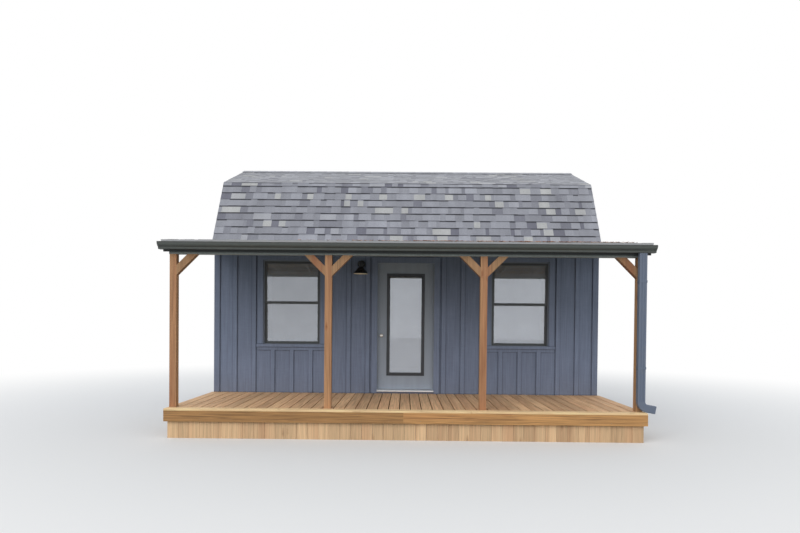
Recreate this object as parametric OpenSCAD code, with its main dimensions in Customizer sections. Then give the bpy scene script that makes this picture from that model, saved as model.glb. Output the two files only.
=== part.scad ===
// Boathouse cabin, 20 ft by 12 ft, with a barn roof and a full-width front porch.
// Millimetres. X runs along the front to the right, Y runs to the back, Z is up.
// The origin is on the ground under the middle foundation block.

/* [Shed] */
// Framing length along the front
shed_w = 6096; // [5600:10:6600]
// Framing depth from front to back
shed_d = 3658; // [3350:10:3950]
// Underside of the floor above the ground
floor_z = 254; // [230:1:280]
// Thickness of the built floor
floor_t = 159; // [140:1:180]
// Top of the wall plates above the door frame
wall_top = 276; // [250:1:320]
// Studs and inner lining behind the siding
stud_t = 102; // [90:1:115]
// Siding panel thickness
siding_t = 11; // [9:1:15]
// Batten, corner board and casing thickness
trim_t = 19; // [15:1:25]
// Batten width
batten_w = 64; // [50:1:76]
// Distance from batten to batten
batten_step = 304.8; // [280:0.1:330]
// Corner board and casing width
board_w = 89; // [70:1:110]
// Foundation block height
pad_h = 114; // [100:1:130]
// Foundation block length
pad_l = 400; // [300:10:450]
// Foundation block width
pad_w = 200; // [150:5:250]
// Distance of the end blocks from the framing ends
pad_in = 350; // [300:10:450]
// Distance of the outer skids from the framing faces
skid_in = 280; // [240:10:340]

/* [Roof] */
// Height of the roof skin's foot above the wall plates
foot_z = 50; // [35:1:80]
// Reach of the roof skin's foot past the framing
foot_y = 41; // [35:1:55]
// Reach of the shingles past the roof skin's foot
eave_out = 10; // [6:1:16]
// Height of the change of slope above the wall plates
break_z = 1107; // [950:1:1200]
// Distance of the change of slope inside the framing face
break_y = 540; // [450:5:620]
// Height of the ridge above the change of slope
ridge_z = 510; // [420:1:600]
// Rafters, sheathing and ceiling lining
roof_t = 113; // [100:1:130]
// Shingle thickness
shingle_t = 12; // [8:1:16]
// Roof reach past the siding at each end
rake_over = 51; // [30:1:70]
// Width of the rake boards
rake_w = 140; // [110:1:150]
// Height of the boards along the eaves
fas_h = 140; // [110:1:150]
// Reach of the ridge cap down each slope
cap_w = 140; // [120:1:160]
// Ridge cap thickness
cap_t = 6; // [4:0.5:10]

/* [Porch] */
// Deck depth from the front wall to the front of its fascia
deck_d = 1960; // [1850:5:2050]
// Step from the deck up to the floor
deck_z = 28; // [15:1:60]
// Reach of the deck past the shed framing at each end
deck_side = 62; // [50:1:90]
// Deck board thickness
plank_t = 25; // [22:1:38]
// Width of the border board along the deck front
edge_w = 140; // [120:1:145]
// Gap between the border board and the other boards
edge_gap = 6; // [3:1:8]
// Skirt board thickness
skirt_t = 19; // [15:1:25]
// Place of the joint in the deck fascia
fascia_x = -20; // [-400:10:400]
// Joist and fascia thickness
two_by = 38; // [32:1:45]
// Deck joist height
joist_h = 140; // [120:1:160]
// Deck fascia height
fascia_h = 140; // [120:1:160]
// Side of the square posts, beam and braces
post_w = 89; // [80:1:110]
// Distance of the post fronts from the deck front
post_set = 150; // [148:1:180]
// Distance of the two middle posts from the centre line
post_mid = 1016; // [900:1:1150]
// Underside of the porch beam below the wall plates
beam_z = 395; // [370:1:440]
// Leg of each knee brace along the post and the beam
brace_leg = 270; // [220:1:320]
// Height of the porch roof skin at the wall above the wall plates
porch_z = 23; // [18:1:30]
// Fall of the porch roof for each millimetre forward
porch_fall = 0.125; // [0.1:0.005:0.14]
// Run of the porch roof past its fascia board
porch_run = 20; // [14:1:30]
// Reach of the porch roof past the siding at each end
porch_side = 131; // [110:1:160]
// Porch shingle thickness
porch_skin = 8; // [6:0.5:12]
// Reach of the porch shingles past the sheathing at each end
skin_out = 6; // [3:1:10]
// Porch sheathing thickness
sheath_t = 12; // [9:1:18]
// Porch rafter height
rafter_h = 89; // [80:1:100]
// Height of the wall ledger that carries the rafters
ledger_h = 140; // [120:1:160]

/* [Gutter] */
// Gutter depth from back to front
gutter_d = 127; // [110:1:140]
// Gutter height
gutter_h = 95; // [85:1:110]
// Reach of the gutter past the porch sheathing at each end
gutter_side = 15; // [5:1:30]
// Drop of the gutter's lip below the rafters' tops
gutter_drop = 20; // [10:1:30]
// Sheet thickness
sheet_t = 3; // [2:0.5:4]
// Downspout width
spout_w = 102; // [90:1:108]
// Downspout depth
spout_d = 70; // [55:1:72]
// Distance of the downspout's centre inside the framing end
spout_x = 3; // [0:1:40]
// Turn of the elbow
spout_turn = 70; // [60:1:80]
// Inside radius of the elbow
bend_in = 14; // [8:1:30]
// Length of the outlet past the elbow
spout_out = 143; // [100:1:180]
// Height of the lower strap above the deck
strap_low = 560; // [300:10:800]
// Distance of the upper strap below the beam
strap_high = 330; // [200:10:600]
// Room between the outlet and the deck's edge
spout_gap = 4; // [3:1:10]

/* [Windows] */
// Distance of each window from the centre line
win_x = 1829; // [1750:1:1900]
// Width of the hole in the wall
win_w = 940; // [860:5:1000]
// Bottom of the hole above the floor
win_z0 = 732; // [650:1:850]
// Top of the hole below the wall plates
win_z1 = 265; // [250:1:350]
// Window frame thickness
frame_t = 25; // [20:1:32]
// Sash stile and rail width
sash_w = 30; // [26:1:40]
// Sash thickness
sash_t = 28; // [24:1:30]
// Glass unit thickness
glass_t = 14; // [6:1:16]
// Reach of the window sills from the siding
sill_out = 42; // [30:1:60]
// Window sill thickness
sill_t = 42; // [30:1:50]
// Height of the strip under each sill
strip_h = 50; // [40:1:70]
// Height of the raised blind
blind_h = 215; // [150:5:260]

/* [Door] */
// Door leaf width
door_w = 914; // [860:1:930]
// Door leaf height
door_h = 2032; // [1980:1:2040]
// Door leaf thickness
door_t = 44; // [40:1:46]
// Running gap around the leaf
door_gap = 7; // [6:0.5:8]
// Jamb thickness
jamb_t = 19; // [16:1:22]
// Reach of the stops over the leaf
stop_w = 18; // [15:1:20]
// Outside width of the glazing frame
lite_w = 610; // [560:1:640]
// Outside height of the glazing frame
lite_h = 1650; // [1560:5:1680]
// Share of the leaf's height past the glazing that lies under it
lite_low = 0.565; // [0.5:0.005:0.6]
// Border of the glazing frame
lite_b = 44; // [36:1:50]
// Knob height above the bottom of the leaf
knob_z = 865; // [800:1:950]
// Knob distance from the free edge of the leaf
knob_in = 67; // [60:1:75]
// Diameter of the knob's roses
rose_d = 64; // [56:1:68]
// Reach of the casing over the jambs
case_in = 9; // [5:1:12]
// Height of the threshold above the floor
sill_h = 32; // [24:1:40]

/* [Lamp] */
// Lamp distance past the second batten left of the door's middle
lamp_x = 105.4; // [92:0.1:200]
// Rim of the shade below the wall plates
lamp_z = 495; // [465:1:600]
// Shade diameter at the rim
shade_d = 236; // [200:1:250]
// Distance of the shade's axis from the siding
lamp_out = 165; // [140:1:180]
// Height of the shade
shade_h = 112; // [100:1:125]
// Diameter of the wall plate
plate_d = 116; // [100:1:130]

/* [Hidden] */
eps = 0.5;                                // hairline between solids that share a node
seat = 0.3;                               // room between slanting pieces that lie on each other
fx = shed_w/2;  fy = shed_d/2;            // framing faces
sx = fx + siding_t;  sy = fy + siding_t;  // siding faces
tx = sx + trim_t;  ty = sy + trim_t;      // trim faces
ix = fx - stud_t;  iy = fy - stud_t;      // room faces
floor_top = floor_z + floor_t;
// heights above the ground
sill_top = floor_top + sill_h;
leaf_z = sill_top + 6;
doz = leaf_z + door_h + door_gap + jamb_t;
wall_z = doz + wall_top;
ft_z = wall_z + foot_z;
bk_z = wall_z + break_z;
rg_z = bk_z + ridge_z;
ph_z = wall_z + porch_z;
bm_z = wall_z - beam_z;
dk_z = floor_top - deck_z;
wn_z0 = floor_top + win_z0;
wn_z1 = wall_z - win_z1;
kb_z = leaf_z + knob_z;
lp_z = wall_z - lamp_z;
lp_x = 2*batten_step + lamp_x;
skid_h = floor_z - pad_h;
// deck
dy = -sy - deck_d;                        // front of the deck
dx = fx + deck_side;                      // side of the deck
dk_y = dy + two_by;  dk_x = dx - two_by;  // back of the fascia
joist_top = dk_z - plank_t;
joist_z = joist_top - joist_h;
// porch
post_y = dy + post_set;                   // front of the posts
post_x = [-fx, -post_mid, post_mid, fx];
slope_p = atan(porch_fall);
function porch_top(y) = ph_z + (y + sy)*porch_fall;
fas_y = post_y - seat - trim_t;           // front face of the porch fascia
roof_y = fas_y - porch_run;               // front edge of the porch roof
px_ = sx + porch_side;                    // porch roof ends
raf_cut = (porch_skin + sheath_t + seat)/cos(slope_p);
function raf_top(y) = porch_top(y) - raf_cut;
function raf_bot(y) = raf_top(y) - rafter_h/cos(slope_p);
beam_top = raf_bot(post_y + post_w/2) + 4;
ledger_z = raf_top(-sy - two_by) - ledger_h;
// main roof
ft_y = fy + foot_y;                       // foot and change of slope, from the middle
bk_y = fy - break_y;
a1 = atan2(bk_z - ft_z, ft_y - bk_y);
a2 = atan2(rg_z - bk_z, bk_y);
n1 = [sin(a1), -cos(a1)];  n2 = [sin(a2), -cos(a2)];
mit = (n1 + n2)/(1 + n1*n2);
eave_y = ft_y + eave_out;
head_y = -eave_y;                         // upper edge of the porch roof
// points of the roof section t below the skin, front half (y negative)
function foot_at(t, z) = [-ft_y + t*n1[0] + (z - ft_z - t*n1[1])/tan(a1), z];
function foot_v(t, y) = [y, ft_z + t*n1[1] + (y + ft_y - t*n1[0])*tan(a1)];
function brk(t) = [-bk_y, bk_z] + t*mit;
function rdg(t) = [0, rg_z - t/cos(a2)];
roof_in = shingle_t + roof_t;
// height of a line t below the skin at distance y from the middle
function roof_z(t, y) = let (b = brk(t))
    abs(y) > -b[0] ? b[1] - (abs(y) + b[0])*tan(a1) : b[1] + (-b[0] - abs(y))*tan(a2);
// gutter
gut_top = raf_top(roof_y) - gutter_drop;
gut_z = gut_top - gutter_h;
gut_x = px_ + gutter_side;
// openings
wx0 = win_x - win_w/2;  wx1 = win_x + win_w/2;
jx = door_w/2 + door_gap;                 // inside of the jambs
dox = jx + jamb_t;                        // half of the hole for the door
leaf_y1 = -iy;  leaf_y0 = leaf_y1 - door_t;
stop_y = leaf_y0 - 5;
meet_z = (wn_z0 + wn_z1)/2;
lite_z = leaf_z + (door_h - lite_h)*lite_low;
knob_x = -door_w/2 + knob_in;
pin_x = door_w/2 + door_gap/2;  pin_y = leaf_y1 + 8;  pin_r = 6;
n_bat = round(shed_w/batten_step);

// box from two corners
module bx(a, b) { translate(a) cube(b - a); }
// a profile drawn as (y, z), run along X from x0 to x1
module along_x(x0, x1) {
    translate([x0, 0, 0]) rotate([90, 0, 90]) linear_extrude(x1 - x0) children();
}
// a profile drawn as (x, z), run along Y from y0 to y1
module along_y(y0, y1) {
    translate([0, y1, 0]) rotate([90, 0, 0]) linear_extrude(y1 - y0) children();
}
module both_x() { children(); mirror([1, 0, 0]) children(); }
module both_y() { children(); mirror([0, 1, 0]) children(); }

// foundation and floor
module foundation_blocks() color("#9a9a96") {
    for (x = [-2:2], y = [-1:1])
        translate([x*(fx - pad_in)/2, y*(fy - skid_in), 0])
            bx([-pad_l/2, -pad_w/2, 0], [pad_l/2, pad_w/2, pad_h]);
    for (x = [-2:2], y = [dk_y + skirt_t + pad_w/2, dk_y + deck_d/2])
        translate([x*(fx - pad_in)/2, y, 0])
            bx([-pad_w/2, -pad_w/2, 0], [pad_w/2, pad_w/2, joist_z]);
}
module skids() color("#8a7a55")
    for (y = [-1:1]) translate([0, y*(fy - skid_in), 0])
        bx([-fx + 40, -post_w/2, pad_h], [fx - 40, post_w/2, floor_z]);
module shed_floor() color("#a08058") bx([-fx, -fy, floor_z], [fx, fy, floor_top]);
module base_boards() color("#5f6675") {
    both_y() bx([-sx, fy, floor_z], [sx, sy, floor_top]);
    both_x() bx([fx, -fy + eps, floor_z], [sx, fy - eps, floor_top]);
}

// walls
module front_wall_piers() color("#5f6675") both_x() {
    bx([wx1, -sy, floor_top], [ix, -iy, wall_z]);
    bx([dox, -sy, floor_top], [wx0, -iy, wall_z]);
}
module front_wall_infills() color("#5f6675") {
    both_x() {
        bx([wx0, -sy, floor_top], [wx1, -iy, wn_z0]);
        bx([wx0, -sy, wn_z1], [wx1, -iy, wall_z]);
    }
    bx([-dox, -sy, doz], [dox, -iy, wall_z]);
}
module rear_wall() color("#5f6675") bx([-ix, iy, floor_top], [ix, sy, wall_z]);
module gable_walls() color("#5f6675") both_x() along_x(ix, sx) gable_shape(roof_in + seat);
module gable_shape(t) {
    f = foot_at(t, wall_z);  b = brk(t);  r = rdg(t);
    polygon([[-sy, floor_top], [-sy, wall_z], f, b, r, [-b[0], b[1]], [-f[0], f[1]],
        [sy, wall_z], [sy, floor_top]]);
}
module batten(x, z0, z1) bx([x - batten_w/2, sy, z0], [x + batten_w/2, ty, z1]);
module wall_battens() color("#5a6170") {
    for (i = [1:n_bat - 1]) {
        x = -fx + i*batten_step;
        batten(x, floor_z, wall_z - fas_h);
        mirror([0, 1, 0]) {
            if (abs(x) < jx - case_in + board_w + batten_w/2) batten(x, doz + board_w, ledger_z - seat);
            else if (abs(abs(x) - win_x) < win_w/2 + board_w + 9 + batten_w/2) {
                batten(x, dk_z, wn_z0 + 17 - sill_t - strip_h);
                batten(x, wn_z1 + board_w, ledger_z - seat);
            }
            else batten(x, dk_z, ledger_z - seat);
        }
    }
    // gable battens, cut under the rake boards
    for (i = [1:round(shed_d/batten_step) - 1]) {
        y = -fy + i*shed_d/round(shed_d/batten_step);
        t = shingle_t + rake_w + seat;
        y0 = y - batten_w/2;  y1 = y + batten_w/2;
        both_x() along_x(sx, tx)
            polygon([[y0, floor_z], [y0, roof_z(t, y0)], [y1, roof_z(t, y1)], [y1, floor_z]]);
    }
}
module corner_boards() color("#727a8c") both_x() {
    translate([0, 0, dk_z]) linear_extrude(ledger_z - seat - dk_z) mirror([0, 1]) corner_l();
    translate([0, 0, floor_z]) linear_extrude(wall_z - fas_h - floor_z) corner_l();
}
module corner_l() polygon([[tx - board_w, sy], [tx - board_w, ty], [tx, ty],
    [tx, ty - board_w], [sx, ty - board_w], [sx, sy]]);

// main roof
module roof_lower_panels() color("#8f8574") both_y() along_x(-sx, sx) lower_band(shingle_t + seat, roof_in);
module lower_band(t0, t1) polygon([foot_at(t1, wall_z), [-eave_y, wall_z],
    foot_v(t0, -eave_y), brk(t0), brk(t1)]);
module upper_band(t0, t1) polygon([brk(t1), brk(t0), rdg(t0) - eps*[1, tan(a2)],
    rdg(t1) - eps*[1, tan(a2)]]);
module roof_upper_panels() color("#8f8574") both_y() along_x(-sx, sx) upper_band(shingle_t + seat, roof_in);
module shingles_lower() color("#7b7b82") both_y() along_x(-sx - rake_over, sx + rake_over)
    polygon([foot_v(shingle_t, -eave_y), foot_v(0, -eave_y), brk(0), brk(shingle_t)]);
module shingles_upper() color("#7b7b82") both_y() along_x(-sx - rake_over, sx + rake_over)
    upper_band(0, shingle_t);
module ridge_cap() color("#74747a") along_x(-sx - rake_over, sx + rake_over)
    polygon([for (p = [[-cap_w, 0], [-cap_w, cap_t], [0, cap_t], [cap_w, cap_t], [cap_w, 0], [0, 0]])
        [p[0], rg_z - abs(p[0])*tan(a2) + (p[1] + seat)/cos(a2)]]);
module rake_boards() color("#727a8c") both_x() along_x(sx, tx) difference() {
    rake_line(shingle_t + seat);
    rake_line(shingle_t + rake_w);
}
module rake_line(t) {
    f = foot_at(t, wall_z - fas_h);  g = foot_v(t, -eave_y);  b = brk(t);  r = rdg(t);
    y = max(f[0], -eave_y);
    polygon([[y, wall_z - (t > rake_w ? fas_h + 1 : fas_h)], t > rake_w ? f : g, b, r,
        [-b[0], b[1]], t > rake_w ? [-f[0], f[1]] : [-g[0], g[1]],
        [-y, wall_z - (t > rake_w ? fas_h + 1 : fas_h)]]);
}
module eave_boards() color("#4a4e4b") {
    bx([-sx, sy, wall_z - fas_h], [sx, ty, wall_z]);
    bx([-px_ + porch_run, fas_y, raf_top(fas_y) - fas_h], [px_ - porch_run, fas_y + trim_t, raf_top(fas_y)]);
}

// porch roof frame
module porch_beams() color("#5b5e5e") {
    bx([-fx - 52, post_y, bm_z], [fx + 52, post_y + post_w, beam_top]);
    bx([-fx, -sy - two_by, ledger_z], [fx, -sy, ledger_z + ledger_h]);
}
module porch_rafters() color("#9c8a6c") for (i = [0:10])
    translate([-fx + two_by/2 + i*(shed_w - two_by)/10, 0, 0]) along_x(-two_by/2, two_by/2) {
        y0 = fas_y + trim_t;  y1 = post_y + post_w;  y2 = -sy - two_by;
        polygon([[y0, raf_top(y0)], [y0, beam_top], [y1, beam_top], [y1, raf_bot(y1)],
            [y2, raf_bot(y2)], [y2, raf_top(y2)]]);
    }
module porch_band(t0, t1) polygon([for (p = [[roof_y, t0], [head_y, t0], [head_y, t1],
    [roof_y, t1]]) [p[0], porch_top(p[0]) - p[1]/cos(slope_p)]]);
module porch_roof() color("#a98f68") along_x(-px_, px_)
    porch_band(porch_skin + seat, porch_skin + sheath_t);
module porch_shingles() color("#7b7b82") along_x(-px_ - skin_out, px_ + skin_out)
    porch_band(0, porch_skin);
module porch_posts() color("#b98862") for (x = post_x)
    bx([x - post_w/2, post_y, dk_z], [x + post_w/2, post_y + post_w, bm_z]);
module knee_braces() color("#b07a55") {
    b = post_w*sqrt(2);
    for (i = [0:3], s = [-1, 1]) if (abs(post_x[i] + s*2*brace_leg) < fx)
        translate([post_x[i] + s*post_w/2, 0, bm_z]) along_y(post_y, post_y + post_w)
            polygon([[0, -brace_leg], [s*brace_leg, 0], [s*(brace_leg - b), 0], [0, b - brace_leg]]);
}

// gutter with its ogee front, drawn as (y, z) from the back top corner
function gut_pts(t) = let (d = gutter_d, h = gutter_h) [[-t, t > 0 ? 1 : 0], [-t, t - h],
    [-d*0.62 - (t > 0 ? -t : 0), t - h], [-d*0.66 + t, -h*0.74], [-d*0.80 + t, -h*0.60],
    [-d*0.93 + t, -h*0.42], [-d + t, -h*0.22], [-d + t, t > 0 ? 1 : 0]];
module gutter() color("#4a4e4b") difference() {
    translate([0, fas_y, gut_top]) along_x(-gut_x, gut_x) polygon(gut_pts(0));
    translate([0, fas_y, gut_top]) along_x(-gut_x + sheet_t, gut_x - sheet_t)
        polygon(gut_pts(sheet_t));
    spout_at() translate([0, 0, gut_z - 5])
        linear_extrude(20) square([spout_w - 2*sheet_t, spout_d - 2*sheet_t], center = true);
}
spout_y = fas_y - spout_d/2 - 5;
spout_cx = fx - spout_x;
bend_r = bend_in + spout_w/2;
bend_a = [sin(spout_turn), cos(spout_turn)];
// height of the elbow's centre, with the outlet just clear of the deck's edge
bend_z = dk_z + spout_gap + (bend_r + spout_w/2)*bend_a[0]
    + (dx - spout_cx - bend_r + (bend_r + spout_w/2)*bend_a[1])*bend_a[1]/bend_a[0];
module spout_at() translate([spout_cx, spout_y, 0]) children();
module spout_ring() difference() {
    square([spout_w, spout_d], center = true);
    square([spout_w - 2*sheet_t, spout_d - 2*sheet_t], center = true);
}
module downspout() color("#66708a") spout_at() {
    translate([0, 0, bend_z]) linear_extrude(gut_z - bend_z) spout_ring();
    // elbow turning towards +X, with its outlet over the deck's edge
    translate([bend_r, 0, bend_z]) rotate([90, 0, 0]) rotate([0, 0, 180])
        rotate_extrude(angle = spout_turn, $fn = 48) translate([bend_r, 0]) spout_ring();
    translate([bend_r*(1 - bend_a[1]), 0, bend_z - bend_r*bend_a[0]])
        rotate([0, 180 - spout_turn, 0]) linear_extrude(spout_out) spout_ring();
    // straps back to the post
    for (z = [dk_z + strap_low, bm_z - strap_high])
        bx([-30, spout_d/2, z], [30, post_y - spout_y, z + 30]);
}

// deck
module deck_boards() color("#b08b66") {
    bx([-dx, dy, joist_top], [dx, dy + edge_w, dk_z]);
    bx([-dx, dy + edge_w + edge_gap, joist_top], [dx, -sy, dk_z]);
}
module deck_joists() color("#8a7a55") {
    y0 = dk_y + skirt_t;
    for (i = [0:4]) translate([0, y0 + i*(-sy - two_by - y0)/4, 0])
        bx([-dk_x + skirt_t + two_by + eps, 0, joist_z], [dk_x - skirt_t - two_by - eps, two_by, joist_top]);
    both_x() bx([dk_x - skirt_t - two_by, y0, joist_z], [dk_x - skirt_t, -sy, joist_top]);
}
module deck_fascia() color("#b98b5a") {
    bx([-dx, dy, joist_top - fascia_h], [fascia_x, dk_y, joist_top]);
    bx([fascia_x + eps, dy, joist_top - fascia_h], [dx, dk_y, joist_top]);
    both_x() bx([dk_x, dk_y + eps, joist_top - fascia_h], [dx, -sy, joist_top]);
}
module skirt_boards() color("#cfa97c") {
    bx([-dk_x, dk_y, 0], [dk_x, dk_y + skirt_t, joist_top]);
    both_x() {
        bx([dk_x - skirt_t, dk_y + skirt_t + eps, 0], [dk_x, -sy, joist_top]);
        bx([fx - skirt_t, -fy, 0], [fx, fy, floor_z]);
        bx([fx + eps, -sy + eps, 0], [dk_x, -sy + skirt_t, floor_z - eps]);
    }
    bx([-fx + skirt_t + eps, fy - skirt_t, 0], [fx - skirt_t - eps, fy, floor_z]);
}

// windows
module at_windows() both_x() translate([win_x, 0, 0]) children();
module four_sides(w, z0, z1, t, y0, y1) {
    for (s = [-1, 1]) translate([s*(w/2 - t/2), 0, 0]) bx([-t/2, y0, z0], [t/2, y1, z1]);
    for (z = [z0, z1 - t]) bx([-w/2 + t + eps, y0, z], [w/2 - t - eps, y1, z + t]);
}
module window_frames() color("#3c3f43") at_windows()
    four_sides(win_w, wn_z0, wn_z1, frame_t, -sy, -iy);
up_y = -sy + 15;  low_y = up_y + sash_t + 2;
module window_sashes() color("#44474b") at_windows() {
    w = win_w - 2*frame_t;
    four_sides(w, meet_z - 18, wn_z1 - frame_t, sash_w, up_y, up_y + sash_t);
    four_sides(w, wn_z0 + frame_t, meet_z + 18, sash_w, low_y, low_y + sash_t);
}
module window_glass() color("#b8c4cc") at_windows() {
    w = win_w/2 - frame_t - sash_w;
    bx([-w, up_y + 7, meet_z - 18 + sash_w], [w, up_y + 7 + glass_t, wn_z1 - frame_t - sash_w]);
    bx([-w, low_y + 7, wn_z0 + frame_t + sash_w], [w, low_y + 7 + glass_t, meet_z + 18 - sash_w]);
}
module window_casings() color("#656c7b") at_windows() {
    w = win_w/2 - 6;
    for (s = [-1, 1]) translate([s*(w + board_w/2), 0, 0])
        bx([-board_w/2, -ty, wn_z0 + 17], [board_w/2, -sy, wn_z1 - 6]);
    bx([-w - board_w, -ty, wn_z1 - 6 + eps], [w + board_w, -sy, wn_z1 - 6 + board_w]);
    // sill with its nose, and the strip under it
    z = wn_z0 + 17 - sill_t;
    bx([-w - board_w - 15, -sy - sill_out, z], [w + board_w + 15, -sy, wn_z0 + 17 - eps]);
    bx([-w - board_w, -ty, z - strip_h], [w + board_w, -sy, z - eps]);
}
module window_blinds() color("#6b6045") at_windows()
    bx([-win_w/2 + frame_t + 12, -iy - 45, wn_z1 - frame_t - blind_h],
        [win_w/2 - frame_t - 12, -iy - 7, wn_z1 - frame_t]);

// door
module door_frame() color("#5a6068") {
    both_x() bx([jx, -sy, floor_top], [dox, -iy, doz]);
    bx([-jx + eps, -sy, doz - jamb_t], [jx - eps, -iy, doz]);
}
module door_stops() color("#5a6068") {
    both_x() bx([jx - stop_w, stop_y - 26, sill_top + eps], [jx, stop_y, doz - jamb_t]);
    bx([-jx + stop_w + eps, stop_y - 26, doz - jamb_t - stop_w], [jx - stop_w - eps, stop_y, doz - jamb_t]);
}
module door_casing() color("#5f6675") {
    x = jx - case_in;  z = doz - jamb_t - case_in;
    both_x() bx([x, -ty, dk_z], [x + board_w, -sy, z]);
    bx([-x - board_w, -ty, z + eps], [x + board_w, -sy, z + board_w]);
}
module threshold() color("#cfd2dd") difference() {
    along_x(-jx, jx) polygon([[-iy, floor_top], [-sy, floor_top], [-sy, sill_top - 22],
        [-ty - 16, sill_top - 24], [-ty - 16, sill_top - 10], [leaf_y0 - 12, sill_top],
        [leaf_y1 - 8, sill_top], [-iy, sill_top - 8]]);
    // the nose fits between the casings
    both_x() bx([jx - case_in - seat, -ty - 20, sill_top - 40], [jx + 1, -sy, sill_top + 1]);
}
module at_hinges() for (z = [200, door_h/2, door_h - 200]) translate([0, 0, leaf_z + z]) children();
// jamb leaf with the pin and the two outer knuckles
module door_hinges() color("#b9bcc0") at_hinges() {
    translate([pin_x, pin_y, -45]) cylinder(r = pin_r/2, h = 90, $fn = 32);
    for (z = [-45, 15]) translate([0, 0, z]) {
        translate([pin_x, pin_y, 0]) cylinder(r = pin_r, h = 30, $fn = 32);
        bx([jx - 2.5, pin_y - 10, 0], [jx, pin_y, 30]);
    }
    bx([jx - 2.5, leaf_y0 + 10, -45], [jx, pin_y - 8, 45]);
}
module door_slab() color("#62666a") difference() {
    bx([-door_w/2, leaf_y0, leaf_z], [door_w/2, leaf_y1, leaf_z + door_h]);
    bx([-lite_w/2 + 12, leaf_y0 - 1, lite_z + 12],
        [lite_w/2 - 12, leaf_y1 + 1, lite_z + lite_h - 12]);
    translate([knob_x, leaf_y0 - 1, kb_z]) rotate([-90, 0, 0]) cylinder(r = 10, h = door_t + 2, $fn = 32);
}
module door_lite_frame() color("#3b3d42") difference() {
    union() {
        for (y = [leaf_y0 - 10, leaf_y1])
            bx([-lite_w/2, y, lite_z], [lite_w/2, y + 10, lite_z + lite_h]);
        bx([-lite_w/2 + 12, leaf_y0 - 1, lite_z + 12],
            [lite_w/2 - 12, leaf_y1 + 1, lite_z + lite_h - 12]);
    }
    bx([-lite_w/2 + lite_b, leaf_y0 - 11, lite_z + lite_b],
        [lite_w/2 - lite_b, leaf_y1 + 11, lite_z + lite_h - lite_b]);
}
module door_glass() color("#c3cdd4") bx([-lite_w/2 + lite_b, leaf_y0 + 12, lite_z + lite_b],
    [lite_w/2 - lite_b, leaf_y0 + 12 + glass_t, lite_z + lite_h - lite_b]);
module at_knob() translate([knob_x, 0, kb_z]) rotate([-90, 0, 0]) children();
// roses of the knob, and the leaf of each hinge with its middle knuckle
module door_hardware() color("#c9ccd0") {
    at_knob() for (z = [leaf_y0 - 5, leaf_y1]) translate([0, 0, z]) difference() {
        cylinder(d = rose_d, h = 5, $fn = 64);
        translate([0, 0, -1]) cylinder(r = 11.1, h = 7, $fn = 48);
    }
    at_hinges() difference() {
        union() {
            translate([pin_x, pin_y, -14.8]) cylinder(r = pin_r, h = 29.6, $fn = 32);
            bx([door_w/2, pin_y - 10, -14.8], [door_w/2 + 2, pin_y, 14.8]);
            bx([door_w/2, leaf_y0 + 10, -45], [door_w/2 + 2, pin_y - 8, 45]);
        }
        translate([pin_x, pin_y, -50]) cylinder(r = pin_r/2 + 0.1, h = 100, $fn = 32);
    }
}
module door_knob() color("#d4d6da") at_knob() rotate_extrude($fn = 64) {
    a = leaf_y0 - 60;  b = leaf_y1 + 60;
    polygon([[0, a], [14, a], [24, a + 5], [27, a + 14], [24, a + 24], [14, a + 34], [11, a + 42],
        [11, a + 59.7], [8, a + 59.7], [8, b - 59.7], [11, b - 59.7], [11, b - 42], [14, b - 34],
        [24, b - 24], [27, b - 14], [24, b - 5], [14, b], [0, b]]);
}

// wall lamp
module at_lamp() translate([-lp_x, -sy, lp_z]) children();
module lamp_bracket() color("#23262a") at_lamp() {
    translate([0, 0, shade_h + 53]) rotate([90, 0, 0]) cylinder(d = plate_d, h = 22, $fn = 64);
    translate([0, -20, shade_h + 53]) rotate([90, 0, 0]) cylinder(r = 11, h = lamp_out - 20, $fn = 32);
    translate([0, -lamp_out, shade_h]) cylinder(r = 24, h = 74, $fn = 48);
}
module lamp_shade() color("#202326") at_lamp() translate([0, -lamp_out, 0]) rotate_extrude($fn = 72)
    polygon([[shade_d/2, 0], [shade_d/2, 5], [shade_d/2 - 6, 14], [40, shade_h - 14],
        [36, shade_h], [0, shade_h], [0, shade_h - 3], [33, shade_h - 3], [37, shade_h - 16],
        [shade_d/2 - 9, 12], [shade_d/2 - 3, 4], [shade_d/2 - 3, 0]]);
module lamp_bulb() color("#f3ead6") at_lamp() translate([0, -lamp_out, 0]) rotate_extrude($fn = 48)
    polygon([[0, 20], [16, 24], [27, 36], [30, 50], [27, 64], [18, 80], [14, 92],
        [14, shade_h - 3], [0, shade_h - 3]]);

foundation_blocks();
skids();
shed_floor();
base_boards();
front_wall_piers();
front_wall_infills();
rear_wall();
gable_walls();
wall_battens();
corner_boards();
roof_lower_panels();
roof_upper_panels();
shingles_lower();
shingles_upper();
ridge_cap();
rake_boards();
eave_boards();
porch_beams();
porch_rafters();
porch_roof();
porch_shingles();
porch_posts();
knee_braces();
gutter();
downspout();
deck_boards();
deck_joists();
deck_fascia();
skirt_boards();
window_frames();
window_sashes();
window_glass();
window_casings();
window_blinds();
door_frame();
door_stops();
door_casing();
threshold();
door_hinges();
lamp_bracket();
lamp_shade();
lamp_bulb();
door_slab();
door_lite_frame();
door_glass();
door_hardware();
door_knob();
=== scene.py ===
"""Dresses the boathouse cabin: finishes on the CAD pieces, and the pieces that they stand for."""

import math
import random
from contextlib import contextmanager

import bmesh
import bpy
import numpy as np
from bpy.props import FloatProperty, FloatVectorProperty, IntProperty, PointerProperty
from mathutils import Matrix, Vector


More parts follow.
